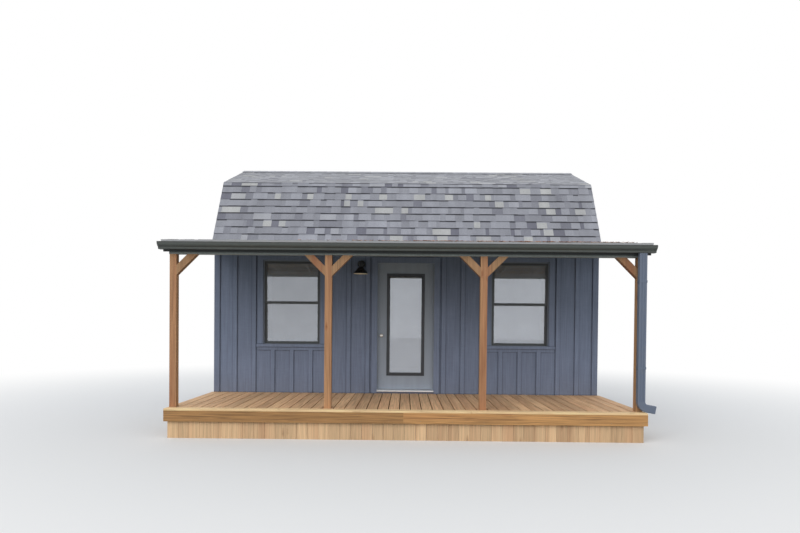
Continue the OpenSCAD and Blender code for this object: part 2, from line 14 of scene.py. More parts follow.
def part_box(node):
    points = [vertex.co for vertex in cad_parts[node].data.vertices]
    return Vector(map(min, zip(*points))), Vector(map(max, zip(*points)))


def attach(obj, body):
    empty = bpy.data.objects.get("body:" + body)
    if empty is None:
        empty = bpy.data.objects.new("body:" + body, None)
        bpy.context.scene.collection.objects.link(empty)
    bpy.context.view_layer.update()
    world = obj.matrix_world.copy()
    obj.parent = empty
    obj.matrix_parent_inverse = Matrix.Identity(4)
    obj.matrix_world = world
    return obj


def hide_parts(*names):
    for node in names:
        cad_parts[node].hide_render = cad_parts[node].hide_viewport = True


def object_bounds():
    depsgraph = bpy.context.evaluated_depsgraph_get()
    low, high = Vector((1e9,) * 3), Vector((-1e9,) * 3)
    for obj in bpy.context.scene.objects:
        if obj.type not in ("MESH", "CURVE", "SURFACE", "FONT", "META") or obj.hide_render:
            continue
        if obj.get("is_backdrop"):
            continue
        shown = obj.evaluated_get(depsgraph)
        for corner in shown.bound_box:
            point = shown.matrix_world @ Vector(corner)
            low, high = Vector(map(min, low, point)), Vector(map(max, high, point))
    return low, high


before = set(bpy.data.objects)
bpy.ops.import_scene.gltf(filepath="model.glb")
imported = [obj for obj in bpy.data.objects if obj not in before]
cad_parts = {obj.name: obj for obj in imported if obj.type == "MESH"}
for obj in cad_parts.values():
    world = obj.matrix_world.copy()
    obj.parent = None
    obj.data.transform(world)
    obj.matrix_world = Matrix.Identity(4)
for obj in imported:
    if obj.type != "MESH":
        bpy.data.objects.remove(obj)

bl_info = {
    "name": "Boathouse cabin",
    "version": (1, 0, 0),
    "blender": (4, 5, 0),
    "location": "3D View > Sidebar > Cabin",
    "description": "Shingles, boards, trim and finishes for a board-and-batten boathouse cabin",
    "category": "Object",
}


def linear(code):
    """sRGB hex to the linear colour that nodes and lamps take."""
    parts = [int(code[i:i + 2], 16) / 255 for i in (1, 3, 5)]
    return tuple(c / 12.92 if c <= 0.04045 else ((c + 0.055) / 1.055) ** 2.4 for c in parts)


def hue(title, text, code):
    return FloatVectorProperty(name=title, description=text, default=linear(code), size=3,
                               min=0, max=1, subtype="COLOR")


def length(title, text, value, low, high):
    return FloatProperty(name=title, description=text, default=value, min=low, max=high,
                         precision=4, subtype="DISTANCE", unit="LENGTH")


class CabinColours(bpy.types.PropertyGroup):
    siding: hue("Siding", "Blue-grey paint of the walls", "#737f98")
    corners: hue("Corner boards", "Lighter paint of the corner and rake boards", "#6e7991")
    # the fascia's dark colour is painted shade: the shade under the gutter
    eaves: hue("Fascia", "Dark paint of the fascia behind the gutter", "#34383a")
    beam: hue("Porch beam", "Grey paint of the porch beam", "#7f8584")
    gutter: hue("Gutter", "Charcoal enamel of the gutter", "#4b504e")
    downspout: hue("Downspout", "Enamel of the downspout", "#616c80")
    cedar: hue("Posts", "Reddish wood of the posts and braces", "#c0946b")
    deck: hue("Deck boards", "Brown wood of the deck", "#d8b086")
    fascia: hue("Deck fascia", "Wood of the boards round the deck", "#b48654")
    skirt: hue("Skirt boards", "Pale wood of the vertical skirt boards", "#dbb78f")
    shingle: hue("Shingles", "Middle grey of the shingle granules", "#8f919a")
    shingle_pale: hue("Pale shingles", "Lightest blend of the shingle granules", "#abacad")
    shingle_dark: hue("Dark shingles", "Darkest blend of the shingle granules", "#6a6b77")
    window: hue("Window frames", "Blue-grey outer window frames", "#727b8a")
    sash: hue("Sashes", "Dark bronze sashes", "#43474a")
    door: hue("Door", "Paint of the door leaf and its frame", "#959fad")
    blind: hue("Blinds", "Stained slats of the raised blinds", "#c9903f")
    lining: hue("Lining", "Plain boards inside the cabin", "#b9b1a2")


class CabinSizes(bpy.types.PropertyGroup):
    course: length("Shingle course", "Height of each shingle course that shows", 0.143, 0.1, 0.2)
    board_gap: length("Deck board gap", "Gap between two deck boards", 0.012, 0.002, 0.02)
    picket: length("Skirt board width", "Width of each vertical skirt board", 0.14, 0.06, 0.2)
    slat_pitch: length("Slat pitch", "Distance from slat to slat in a raised blind", 0.0085,
                       0.005, 0.02)
    hanger_pitch: length("Hanger spacing", "Distance between the gutter hangers", 0.61, 0.3, 0.9)
    litter: IntProperty(name="Leaf litter", description="Number of dry leaves on the porch roof",
                        default=420, min=0, max=800)
    deck_boards: IntProperty(name="Deck boards", description="Number of boards across the deck",
                             default=43, min=20, max=60)


# materials

def feed(tree, node, feeds):
    """Sets sockets by name or in order. A socket links, and a node links by its first output."""
    for key, value in feeds.items() if isinstance(feeds, dict) else enumerate(feeds):
        if isinstance(value, bpy.types.Node):
            value = value.outputs[0]
        if isinstance(value, bpy.types.NodeSocket):
            tree.links.new(value, node.inputs[key])
        else:
            node.inputs[key].default_value = value


def put(tree, kind, feeds=(), stops=None, **settings):
    """Adds a shader node with its settings, the stops of its colour ramp and its feeds."""
    made = tree.nodes.new("ShaderNode" + kind)
    for key, value in settings.items():
        setattr(made, key, value)
    if stops:
        band = made.color_ramp.elements
        while len(band) < len(stops):
            band.new(0.5)
        for element, (place, colour) in zip(band, stops):
            element.position, element.color = place, (*colour, 1)
    feed(tree, made, feeds)
    return made


def finish(name, **sockets):
    """A material, its tree, its shader and its object coordinates. Plain values go on the shader's
    own sockets."""
    mat = bpy.data.materials.new(name)
    mat.use_nodes = True
    tree = mat.node_tree
    shader = tree.nodes["Principled BSDF"]
    feed(tree, shader, {key.replace("_", " "): value for key, value in sockets.items()})
    return mat, tree, shader, put(tree, "TexCoord").outputs["Object"]


def shade(colour, factor):
    return tuple(min(1.0, c * factor) for c in colour)


def grain_space(tree, where, axis, across, along, turn=(0, 0, 0), joint=None):
    """Coordinates in grain widths and lengths in metres, moved on for each board by its tone. The
    boards round the deck are one node: they differ by the side of their joint, and where they face
    sideways their grain runs along Y. Returns the coordinates, the tone and the grain's own."""
    if joint is None:
        tone = put(tree, "Attribute", attribute_name="tone").outputs["Fac"]
    else:
        place = put(tree, "SeparateXYZ", [where])
        tone = put(tree, "Math", [place.outputs["X"], joint], operation="GREATER_THAN")
        facing = put(tree, "SeparateXYZ", [put(tree, "NewGeometry").outputs["True Normal"]])
        aside = put(tree, "Math", [facing.outputs["X"]], operation="ABSOLUTE")
        side = put(tree, "Math", [aside, 0.7], operation="GREATER_THAN")
        swapped = put(
            tree, "CombineXYZ", [place.outputs["Y"], place.outputs["X"], place.outputs["Z"]])
        where = put(tree, "Mix", {0: side, 4: where, 5: swapped}, data_type="VECTOR").outputs[1]
    step = put(tree, "VectorMath", {0: (17.3, 9.1, 5.7), "Scale": tone}, operation="SCALE")
    moved = put(tree, "VectorMath", [where, step], operation="ADD")
    size = [1 / across] * 3
    size["XYZ".index(axis)] = 1 / along
    return where, tone, put(tree, "Mapping", {"Vector": moved, "Scale": size, "Rotation": turn})


def sawn_paint(name, colour, lining=None, roughness=0.62):
    """Satin exterior paint on rough-sawn panels: the saw marks run up and down and catch the light,
    and rain splash leaves the foot of the wall a little browner. Marks drawn 14 mm wide, since the
    real 2 mm ones are too fine to show."""
    mat, tree, shader, where = finish(name, Roughness=roughness)
    marks = grain_space(tree, where, "Z", 0.014, 0.45)[2]
    saw = put(tree, "TexNoise", {"Vector": marks, "Scale": 1.0, "Detail": 5.0, "Roughness": 0.65})
    cloud = put(tree, "TexNoise", {"Vector": where, "Scale": 1.9, "Detail": 3.0})
    light = put(tree, "MapRange", [saw, 0.3, 0.7, 0.84, 1.14])
    drift = put(tree, "MapRange", [cloud, 0.3, 0.7, 0.93, 1.06])
    # blade marks across the grain, drawn 22 mm apart
    kerf = put(tree, "Mapping", {"Vector": where, "Scale": (6.0, 6.0, 46.0)})
    blade = put(tree, "TexNoise", {"Vector": kerf, "Scale": 1.0, "Detail": 4.0, "Roughness": 0.7})
    nick = put(tree, "MapRange", [blade, 0.32, 0.68, 0.96, 1.04])
    clouds = put(tree, "Math", [nick, drift], operation="MULTIPLY")
    # painted shade in the corners beside battens and trim, within 25 mm of them, from occlusion
    crease = put(tree, "AmbientOcclusion", {"Distance": 0.025}, samples=8)
    painted_crease_shade = put(tree, "MapRange", [crease.outputs["AO"], 0.45, 0.95, 0.5, 1.0])
    # saw nicks and colour drift, times the painted shade in the corners
    worn = put(tree, "Math", [clouds, painted_crease_shade], operation="MULTIPLY")
    both = put(tree, "Math", [light, worn], operation="MULTIPLY")
    paint = put(tree, "VectorMath", {0: colour, "Scale": both}, operation="SCALE")
    place = put(tree, "SeparateXYZ", [where])
    foot = put(tree, "MapRange", [place.outputs["Z"], 0.4, 0.7, 0.22, 0.0])
    spots = put(tree, "TexNoise", {"Vector": where, "Scale": 26.0, "Detail": 4.0})
    splash = put(tree, "Math", [foot, spots], operation="MULTIPLY")
    base = put(tree, "Mix", {0: splash, 6: paint, 7: (*linear("#6b6353"), 1)}, data_type="RGBA")
    if lining:
        # the room side of the wall: plain oiled boards
        within = []
        for part, limit in (("X", LINING_X), ("Y", LINING_Y)):
            away = put(tree, "Math", [place.outputs[part]], operation="ABSOLUTE")
            within.append(put(tree, "Math", [away, limit], operation="LESS_THAN"))
        inside = put(tree, "Math", within, operation="MULTIPLY")
        board = put(tree, "VectorMath", {0: lining, "Scale": both}, operation="SCALE")
        base = put(tree, "Mix", {0: inside, 6: base.outputs[2], 7: board}, data_type="RGBA")
    bump = put(tree, "Bump", {"Strength": 0.5, "Distance": 0.0012, "Height": saw})
    feed(tree, shader, {"Base Color": base.outputs[2], "Normal": bump})
    return mat


def sawn_wood(name, colour, axis, turn=(0, 0, 0), red=0.25, knots=0.7, spread=0.16, roughness=0.7,
              depth=1.0, knot_size=1.0, joint=None):
    """Planed softwood under a worn stain: fibres along the board, darker latewood lines, a few
    knots, and reddish heartwood. Fibre bands drawn 18 mm wide so that they show from a few metres
    away."""
    mat, tree, shader, where = finish(name, Roughness=roughness)
    where, tone, fibre = grain_space(tree, where, axis, 0.018, 0.6, turn, joint)
    bands = put(tree, "TexNoise", {
        "Vector": fibre, "Scale": 1.0, "Detail": 6.0, "Roughness": 0.6, "Distortion": 0.35})
    late = put(tree, "ValToRGB", [bands], [(at, shade(colour, 1 + part * depth)) for at, part in (
        (0.30, -0.38), (0.45, -0.12), (0.55, 0.04), (0.72, 0.22))])
    heart = put(tree, "TexNoise", {"Vector": fibre, "Scale": 0.09, "Detail": 2.0})
    how_red = put(tree, "MapRange", [heart, 0.45, 0.65, 0.0, red])
    tinted = put(tree, "Mix", {0: how_red, 6: late, 7: (*linear("#9a5636"), 1)}, data_type="RGBA")
    size = [7.0 / knot_size] * 3
    size["XYZ".index(axis)] = 2.2 / knot_size
    spots = put(tree, "Mapping", {"Vector": where, "Scale": size, "Rotation": turn})
    waver = put(tree, "TexNoise", {"Vector": where, "Scale": 34.0, "Detail": 3.0})
    cells = put(tree, "TexVoronoi", {"Vector": spots, "Scale": 1.0}, feature="F1")
    far = put(tree, "Math", [waver, 0.14, cells], operation="MULTIPLY_ADD")
    knot = put(tree, "MapRange", [far, 0.1, 0.24, knots, 0.0])
    ring_tint = put(tree, "ValToRGB", [far], [
        (0.09, linear("#4c2f1e")), (0.13, linear("#8a5230")), (0.24, linear("#a8683f"))])
    marked = put(tree, "Mix", {0: knot, 6: tinted.outputs[2], 7: ring_tint}, data_type="RGBA")
    level = put(tree, "MapRange", [tone, 0.0, 1.0, 1.0 - spread, 1.0 + spread])
    whole = put(tree, "VectorMath", {0: marked.outputs[2], "Scale": level}, operation="SCALE")
    bump = put(tree, "Bump", {"Strength": 0.45, "Distance": 0.001, "Height": bands})
    feed(tree, shader, {"Base Color": whole, "Normal": bump})
    return mat


def asphalt(name, dark, middle, pale):
    """Asphalt shingles faced with mineral granules: matt and speckled, each tab a blend of its own,
    with faint dark streaks where water runs. Granules drawn 7 mm across instead of 1.5 mm."""
    mat, tree, shader, where = finish(name, Roughness=0.93, Sheen_Weight=0.3, Sheen_Roughness=0.5)
    tone = put(tree, "Attribute", attribute_name="tone").outputs["Fac"]
    # tone 0 is near black: the painted shade of butt edges and the painted shadow under each butt
    blend = put(tree, "ValToRGB", [tone], [
        (0.0, shade(dark, 0.3)), (0.04, dark), (0.3, shade(middle, 0.86)), (0.6, middle),
        (0.8, shade(middle, 1.16)), (0.9, shade(pale, 0.95)), (1.0, pale)])
    grit = put(tree, "TexNoise", {"Vector": where, "Scale": 150.0, "Detail": 3.0, "Roughness": 0.7})
    specks = put(tree, "MapRange", [grit, 0.32, 0.68, 0.72, 1.28])
    run = put(tree, "Mapping", {"Vector": where, "Scale": (5.0, 0.8, 0.8)})
    streak = put(tree, "TexNoise", {"Vector": run, "Scale": 1.0, "Detail": 4.0})
    worn = put(tree, "MapRange", [streak, 0.3, 0.7, 0.88, 1.1])
    both = put(tree, "Math", [specks, worn], operation="MULTIPLY")
    whole = put(tree, "VectorMath", {0: blend, "Scale": both}, operation="SCALE")
    bump = put(tree, "Bump", {"Strength": 0.7, "Distance": 0.0015, "Height": grit})
    feed(tree, shader, {"Base Color": whole, "Normal": bump})
    return mat


def enamel(name, colour, roughness=0.42, dust=0.25, dust_code="#8b8779"):
    """Baked enamel on formed metal, or moulded vinyl: an even colour with a soft gloss, and thin
    dust that dulls it in clouds about 60 mm across."""
    mat, tree, shader, where = finish(name)
    cloud = put(tree, "TexNoise", {"Vector": where, "Scale": 16.0, "Detail": 5.0, "Roughness": 0.6})
    film = put(tree, "MapRange", [cloud, 0.45, 0.75, 0.0, dust])
    base = put(
        tree, "Mix", {0: film, 6: (*colour, 1), 7: (*linear(dust_code), 1)}, data_type="RGBA")
    dull = put(tree, "MapRange", [cloud, 0.3, 0.7, roughness - 0.06, roughness + 0.12])
    fine = put(tree, "TexNoise", {"Vector": where, "Scale": 420.0, "Detail": 2.0})
    bump = put(tree, "Bump", {"Strength": 0.12, "Distance": 0.0004, "Height": fine})
    feed(tree, shader, {"Base Color": base.outputs[2], "Roughness": dull, "Normal": bump})
    return mat


def brushed_paint(name, colour):
    """Satin paint on a pressed steel door leaf and its planed frame: smooth, with soft lap marks
    about 60 mm wide that run up and down, and a faint orange-peel from the roller."""
    mat, tree, shader, where = finish(name)
    laps = put(tree, "Mapping", {"Vector": where, "Scale": (16.0, 16.0, 1.6)})
    lap = put(tree, "TexNoise", {"Vector": laps, "Scale": 1.0, "Detail": 4.0})
    level = put(tree, "MapRange", [lap, 0.3, 0.7, 0.94, 1.05])
    base = put(tree, "VectorMath", {0: colour, "Scale": level}, operation="SCALE")
    dull = put(tree, "MapRange", [lap, 0.3, 0.7, 0.4, 0.52])
    peel = put(tree, "TexNoise", {"Vector": where, "Scale": 260.0, "Detail": 2.0})
    bump = put(tree, "Bump", {"Strength": 0.2, "Distance": 0.0004, "Height": peel})
    feed(tree, shader, {"Base Color": base, "Roughness": dull, "Normal": bump})
    return mat


def rolled_gutter(name, colour, low, high):
    """Baked enamel on roll-formed aluminium: an even soft gloss, with painted bands of shade in the
    long creases of the ogee and under the lip, painted highlight bands between them, and clouds of
    thin dust."""
    mat, tree, shader, where = finish(name, Roughness=0.4)
    cloud = put(tree, "TexNoise", {"Vector": where, "Scale": 14.0, "Detail": 5.0, "Roughness": 0.6})
    place = put(tree, "SeparateXYZ", [where])
    level = put(tree, "MapRange", [place.outputs["Z"], low, high, 0.0, 1.0])
    wave = put(tree, "MapRange", [cloud, 0.2, 0.8, -0.025, 0.025])
    spot = put(tree, "Math", [level, wave], operation="ADD")
    # painted shading across the gutter's face: dark bands for the shade in its creases and under
    # the lip, light ones for its highlights
    bands = put(tree, "ValToRGB", [spot], [(at, shade(colour, part)) for at, part in (
        (0.02, 0.45), (0.1, 0.95), (0.3, 1.1), (0.38, 0.55), (0.46, 1.0), (0.66, 1.3),
        (0.78, 1.0), (0.87, 0.3), (0.97, 0.6))])
    film = put(tree, "MapRange", [cloud, 0.5, 0.8, 0.0, 0.12])
    base = put(tree, "Mix", {0: film, 6: bands, 7: (*linear("#8b8779"), 1)}, data_type="RGBA")
    fine = put(tree, "TexNoise", {"Vector": where, "Scale": 420.0, "Detail": 2.0})
    bump = put(tree, "Bump", {"Strength": 0.1, "Distance": 0.0004, "Height": fine})
    feed(tree, shader, {"Base Color": base.outputs[2], "Normal": bump})
    return mat


def cast_concrete(name):
    """Cast concrete: pale grey, pitted, with damp darker patches about 100 mm across."""
    mat, tree, shader, where = finish(name, Roughness=0.9)
    damp = put(tree, "TexNoise", {"Vector": where, "Scale": 9.0, "Detail": 5.0})
    base = put(tree, "ValToRGB", [damp], [(0.3, linear("#7b7a74")), (0.7, linear("#a8a69e"))])
    pits = put(tree, "TexVoronoi", {"Vector": where, "Scale": 160.0})
    bump = put(tree, "Bump", {"Strength": 0.6, "Distance": 0.002, "Height": pits})
    feed(tree, shader, {"Base Color": base, "Normal": bump})
    return mat


def sealed_pane(name):
    """Sealed double glazing with a reflective low-emission coat: by day it mirrors what stands
    before it and lets the room show only dimly; its pale base colour, which the part that is no
    metal shows as a matt colour, is a painted reflection of the sky, with faint drying marks about
    80 mm across."""
    mat, tree, shader, where = finish(name, Alpha=0.5, Metallic=0.5, IOR=1.52)
    marks = put(tree, "TexNoise", {"Vector": where, "Scale": 7.0, "Detail": 4.0})
    # pale base colour: a painted reflection of the sky on the part of the pane that is no metal
    base = put(tree, "ValToRGB", [marks], [(0.35, linear("#d2d8e2")), (0.7, linear("#d8dee8"))])
    dull = put(tree, "MapRange", [marks, 0.3, 0.7, 0.01, 0.035])
    feed(tree, shader, {"Base Color": base, "Roughness": dull})
    return mat


def metal(name, colour, roughness):
    """Satin nickel or mill aluminium, whose fine brushing, drawn 3 mm wide, blurs its shine."""
    mat, tree, shader, where = finish(name, Metallic=1.0)
    brush = put(tree, "Mapping", {"Vector": where, "Scale": (4.0, 330.0, 330.0)})
    lines = put(tree, "TexNoise", {"Vector": brush, "Scale": 1.0, "Detail": 3.0})
    base = put(tree, "ValToRGB", [lines], [(0.3, shade(colour, 0.85)), (0.7, shade(colour, 1.08))])
    dull = put(tree, "MapRange", [lines, 0.3, 0.7, roughness - 0.08, roughness + 0.1])
    feed(tree, shader, {"Base Color": base, "Roughness": dull})
    return mat


def dry_leaf(name):
    """Dry leaves and needles: thin, curled and matt, each with a brown of its own."""
    mat, tree, shader, where = finish(name, Roughness=0.85)
    tone = put(tree, "Attribute", attribute_name="tone").outputs["Fac"]
    browns = put(tree, "ValToRGB", [tone], [
        (0.0, linear("#5c3d30")), (0.4, linear("#8a5f4b")), (0.75, linear("#ae8069")),
        (1.0, linear("#c8a488"))])
    vein = put(tree, "TexNoise", {"Vector": where, "Scale": 220.0, "Detail": 2.0})
    level = put(tree, "MapRange", [vein, 0.3, 0.7, 0.8, 1.15])
    whole = put(tree, "VectorMath", {0: browns, "Scale": level}, operation="SCALE")
    feed(tree, shader, {"Base Color": whole})
    return mat


# modelling helpers

@contextmanager
def editing():
    """Edit mode on the active object, and object mode again after it."""
    bpy.ops.object.mode_set(mode="EDIT")
    yield
    bpy.ops.object.mode_set(mode="OBJECT")


def only(*objects):
    """Selects these objects alone, the first as the active one."""
    bpy.ops.object.select_all(action="DESELECT")
    for item in objects:
        item.select_set(True)
    bpy.context.view_layer.objects.active = objects[0]


def pick(kind, test, move=None):
    """In edit mode, selects the corners, edges or faces that pass the test, and may move them."""
    bpy.context.tool_settings.mesh_select_mode = (kind == "verts", kind == "edges", kind == "faces")
    bpy.ops.mesh.select_all(action="DESELECT")
    shape = bmesh.from_edit_mesh(bpy.context.object.data)
    for part in getattr(shape, kind):
        if test(part):
            part.select_set(True)
    shape.select_flush_mode()
    bmesh.update_edit_mesh(bpy.context.object.data)
    if move:
        bpy.ops.transform.translate(value=move)


def applied(obj):
    """Takes a new piece's place, turn and size into its mesh."""
    only(obj)
    bpy.ops.object.transform_apply(location=True, rotation=True, scale=True)
    return obj


def block(name, low, high, bevel=0.0, segments=1):
    """A board: a cube at its size and place, with its edges eased by a bevel."""
    low, high = Vector(low), Vector(high)
    bpy.ops.object.select_all(action="DESELECT")
    bpy.ops.mesh.primitive_cube_add(size=1, location=(low + high) / 2, scale=high - low)
    obj = applied(bpy.context.object)
    obj.name = name
    if bevel:
        with editing():
            bpy.ops.mesh.select_all(action="SELECT")
            bpy.ops.mesh.bevel(offset=bevel, segments=segments, affect="EDGES", clamp_overlap=True)
    return obj


def ring(name, low, high, width, bevel=0.0):
    """A rectangular frame in the XZ plane: a cube whose front and back are inset and bridged."""
    obj = block(name, low, high)
    with editing():
        pick("faces", lambda f: abs(f.normal.y) > 0.9)
        bpy.ops.mesh.inset(thickness=width, depth=0)
        bpy.ops.mesh.bridge_edge_loops()
        if bevel:
            front = min(low[1], high[1])

            def sharp(e):
                there = all(abs(v.co.y - front) < 1e-5 for v in e.verts)
                return there and len(e.link_faces) == 2 and abs(
                    e.link_faces[0].normal.dot(e.link_faces[1].normal)) < 0.5

            pick("edges", sharp)
            bpy.ops.mesh.bevel(offset=bevel, segments=2, affect="EDGES")
        bpy.ops.mesh.select_all(action="SELECT")
        bpy.ops.mesh.normals_make_consistent(inside=False)
    return obj


def disc(name, centre, radius, depth, axis="Z", sides=12, dish=0.0):
    """A screw or nail head, or a plate: a short cylinder with a bevelled rim, dished if asked."""
    turn = {"Z": (0, 0, 0), "Y": (math.pi / 2, 0, 0), "X": (0, math.pi / 2, 0)}[axis]
    bpy.ops.object.select_all(action="DESELECT")
    bpy.ops.mesh.primitive_cylinder_add(
        vertices=sides, radius=radius, depth=depth, location=centre, rotation=turn)
    obj = applied(bpy.context.object)
    obj.name = name
    with editing():
        pick("faces", lambda f: len(f.verts) == sides)
        bpy.ops.mesh.inset(thickness=radius * 0.35, depth=-dish)
    return obj


def stamp(name, model, places, tones, layers=None):
    """Joins copies of one modelled piece. Each place is a 4x4 matrix. Each copy has its tone, or a
    row of tones, of which layers says which one each face of the model takes."""
    mesh = model.data
    count = len(mesh.vertices)
    co = np.empty(count * 3)
    mesh.vertices.foreach_get("co", co)
    co = np.c_[co.reshape(-1, 3), np.ones(count)]
    faces = [tuple(p.vertices) for p in mesh.polygons]
    layer = [layers(p) if layers else 0 for p in mesh.polygons]
    verts, polys, shades = [], [], []
    for i, (place, tone) in enumerate(zip(places, tones)):
        m = np.array(place)
        verts.append((co @ m.T)[:, :3])
        flip = np.linalg.det(m[:3, :3]) < 0
        for face, which in zip(faces, layer):
            ids = [v + i * count for v in face]
            polys.append(ids[::-1] if flip else ids)
            shades.append(tone[which] if layers else tone)
    joined = bpy.data.meshes.new(name)
    joined.from_pydata(np.concatenate(verts).tolist(), [], polys)
    made = bpy.data.objects.new(name, joined)
    bpy.context.scene.collection.objects.link(made)
    joined.attributes.new("tone", "FLOAT", "FACE").data.foreach_set("value", shades)
    joined.update()
    bpy.data.objects.remove(model)
    return made


def joined(name, pieces):
    """Joins modelled pieces into one mesh."""
    only(*pieces)
    bpy.ops.object.join()
    obj = bpy.context.object
    obj.name = name
    return obj


def thicken(obj, amount, way):
    """Gives a sheet its thickness, outwards for 1 and inwards for -1."""
    skin = obj.modifiers.new("thickness", "SOLIDIFY")
    skin.thickness, skin.offset = amount, way
    bpy.ops.object.modifier_apply(modifier=skin.name)


def dress(obj, look, slot, *nodes, body="building"):
    """Gives a finished piece its material and body, and hides the CAD nodes that it replaces. The
    slot is not used.
    """
    obj.data.materials.clear()
    obj.data.materials.append(MATS[look])
    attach(obj, body)
    if nodes:
        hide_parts(*nodes)
    return obj


def shift(x, y, z):
    return Matrix.Translation((x, y, z))


# materials by short name, filled by the first step
MATS = {}

# sizes in metres that the pieces share: read from the CAD nodes, or the same as theirs
ROOF_LOW, ROOF_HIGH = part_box("shingles_lower")
TOP_LOW, TOP_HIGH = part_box("shingles_upper")
CAP_LOW, CAP_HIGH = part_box("ridge_cap")
PORCH_LOW, PORCH_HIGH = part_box("porch_shingles")
DECK_LOW, DECK_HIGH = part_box("deck_boards")
# section of the main roof's outer face, and the thickness of its shingles
FOOT = Vector((0, ROOF_LOW.y, 2.8168))
BREAK = Vector((0, TOP_LOW.y, 3.892))
RIDGE = Vector((0, 0, 4.402))
SKIN = 0.012
# outer face of the siding, and just outside the faces of the lining
SIDING_Y = 1.840
LINING_X, LINING_Y = 2.9465, 1.7275
# porch roof: thickness of its shingles, its fall, and its height at the siding
PORCH_SKIN, PORCH_FALL, PORCH_TOP = 0.008, 0.125, 2.808
# a shingle runs on under the next course, and its head is covered with dark granules, drawn
# near black on most tabs as painted shadow under the next butt
UNDERLAP, DARK_HEAD = 0.018, 0.039
# a ridge cap piece runs on under the next one
CAP_UNDERLAP = 0.03
# the starter strip: how far it shows under the first course, and how far it runs on under it
STARTER, STARTER_HIDDEN = 0.018, 0.016
# the deck's border board, the gap behind it, where it is butted, and the lines of the joists
BORDER, BORDER_GAP, BORDER_JOINT = 0.14, 0.006, 0.85
JOISTS = (-3.628, -3.258, -2.792, -2.325, -1.862)
# screws in each row along the border board, and nails in each row along the fascia
BORDER_NAILS = 16
# nails along battens: greatest distance between two, and from the ends
NAIL_STEP, NAIL_END = 0.42, 0.05
# windows: middle, half of the blind's width, and the heights that the meeting rail takes up
WINDOW_X, BLIND_HALF = 1.829, 0.433
RAIL_LOW, RAIL_HIGH = 1.8205, 1.8445
# front and back of each sash: the upper one, then the lower one
UPPER_SASH, LOWER_SASH = (-1.825, -1.797), (-1.795, -1.767)
# height of the knob, and the middle of the leaf's thickness, where the lock lies
KNOB_Z, LOCK_Y = 1.316, -1.749
# radius of the lamp's shade, and the height of its wall plate's middle
SHADE_RADIUS, LAMP_Z = 0.118, 2.455
# camera fitted to the photograph's battens, posts and roof edges, its lens in pixels
PHOTO_WIDTH, FOCAL, RISE = 800, 598.7, 67.5
EYE, YAW, TILT, ROLL = (-0.0067, -11.462, 1.488), 0.0085, 0.0151, 0.0092


def porch_height(y):
    """Top of the porch shingles at a depth."""
    return PORCH_TOP + PORCH_FALL * (y + SIDING_Y)


def drip_height(y):
    """Top of the drip edge, just under the porch shingles."""
    return porch_height(y) - PORCH_SKIN - 0.0006


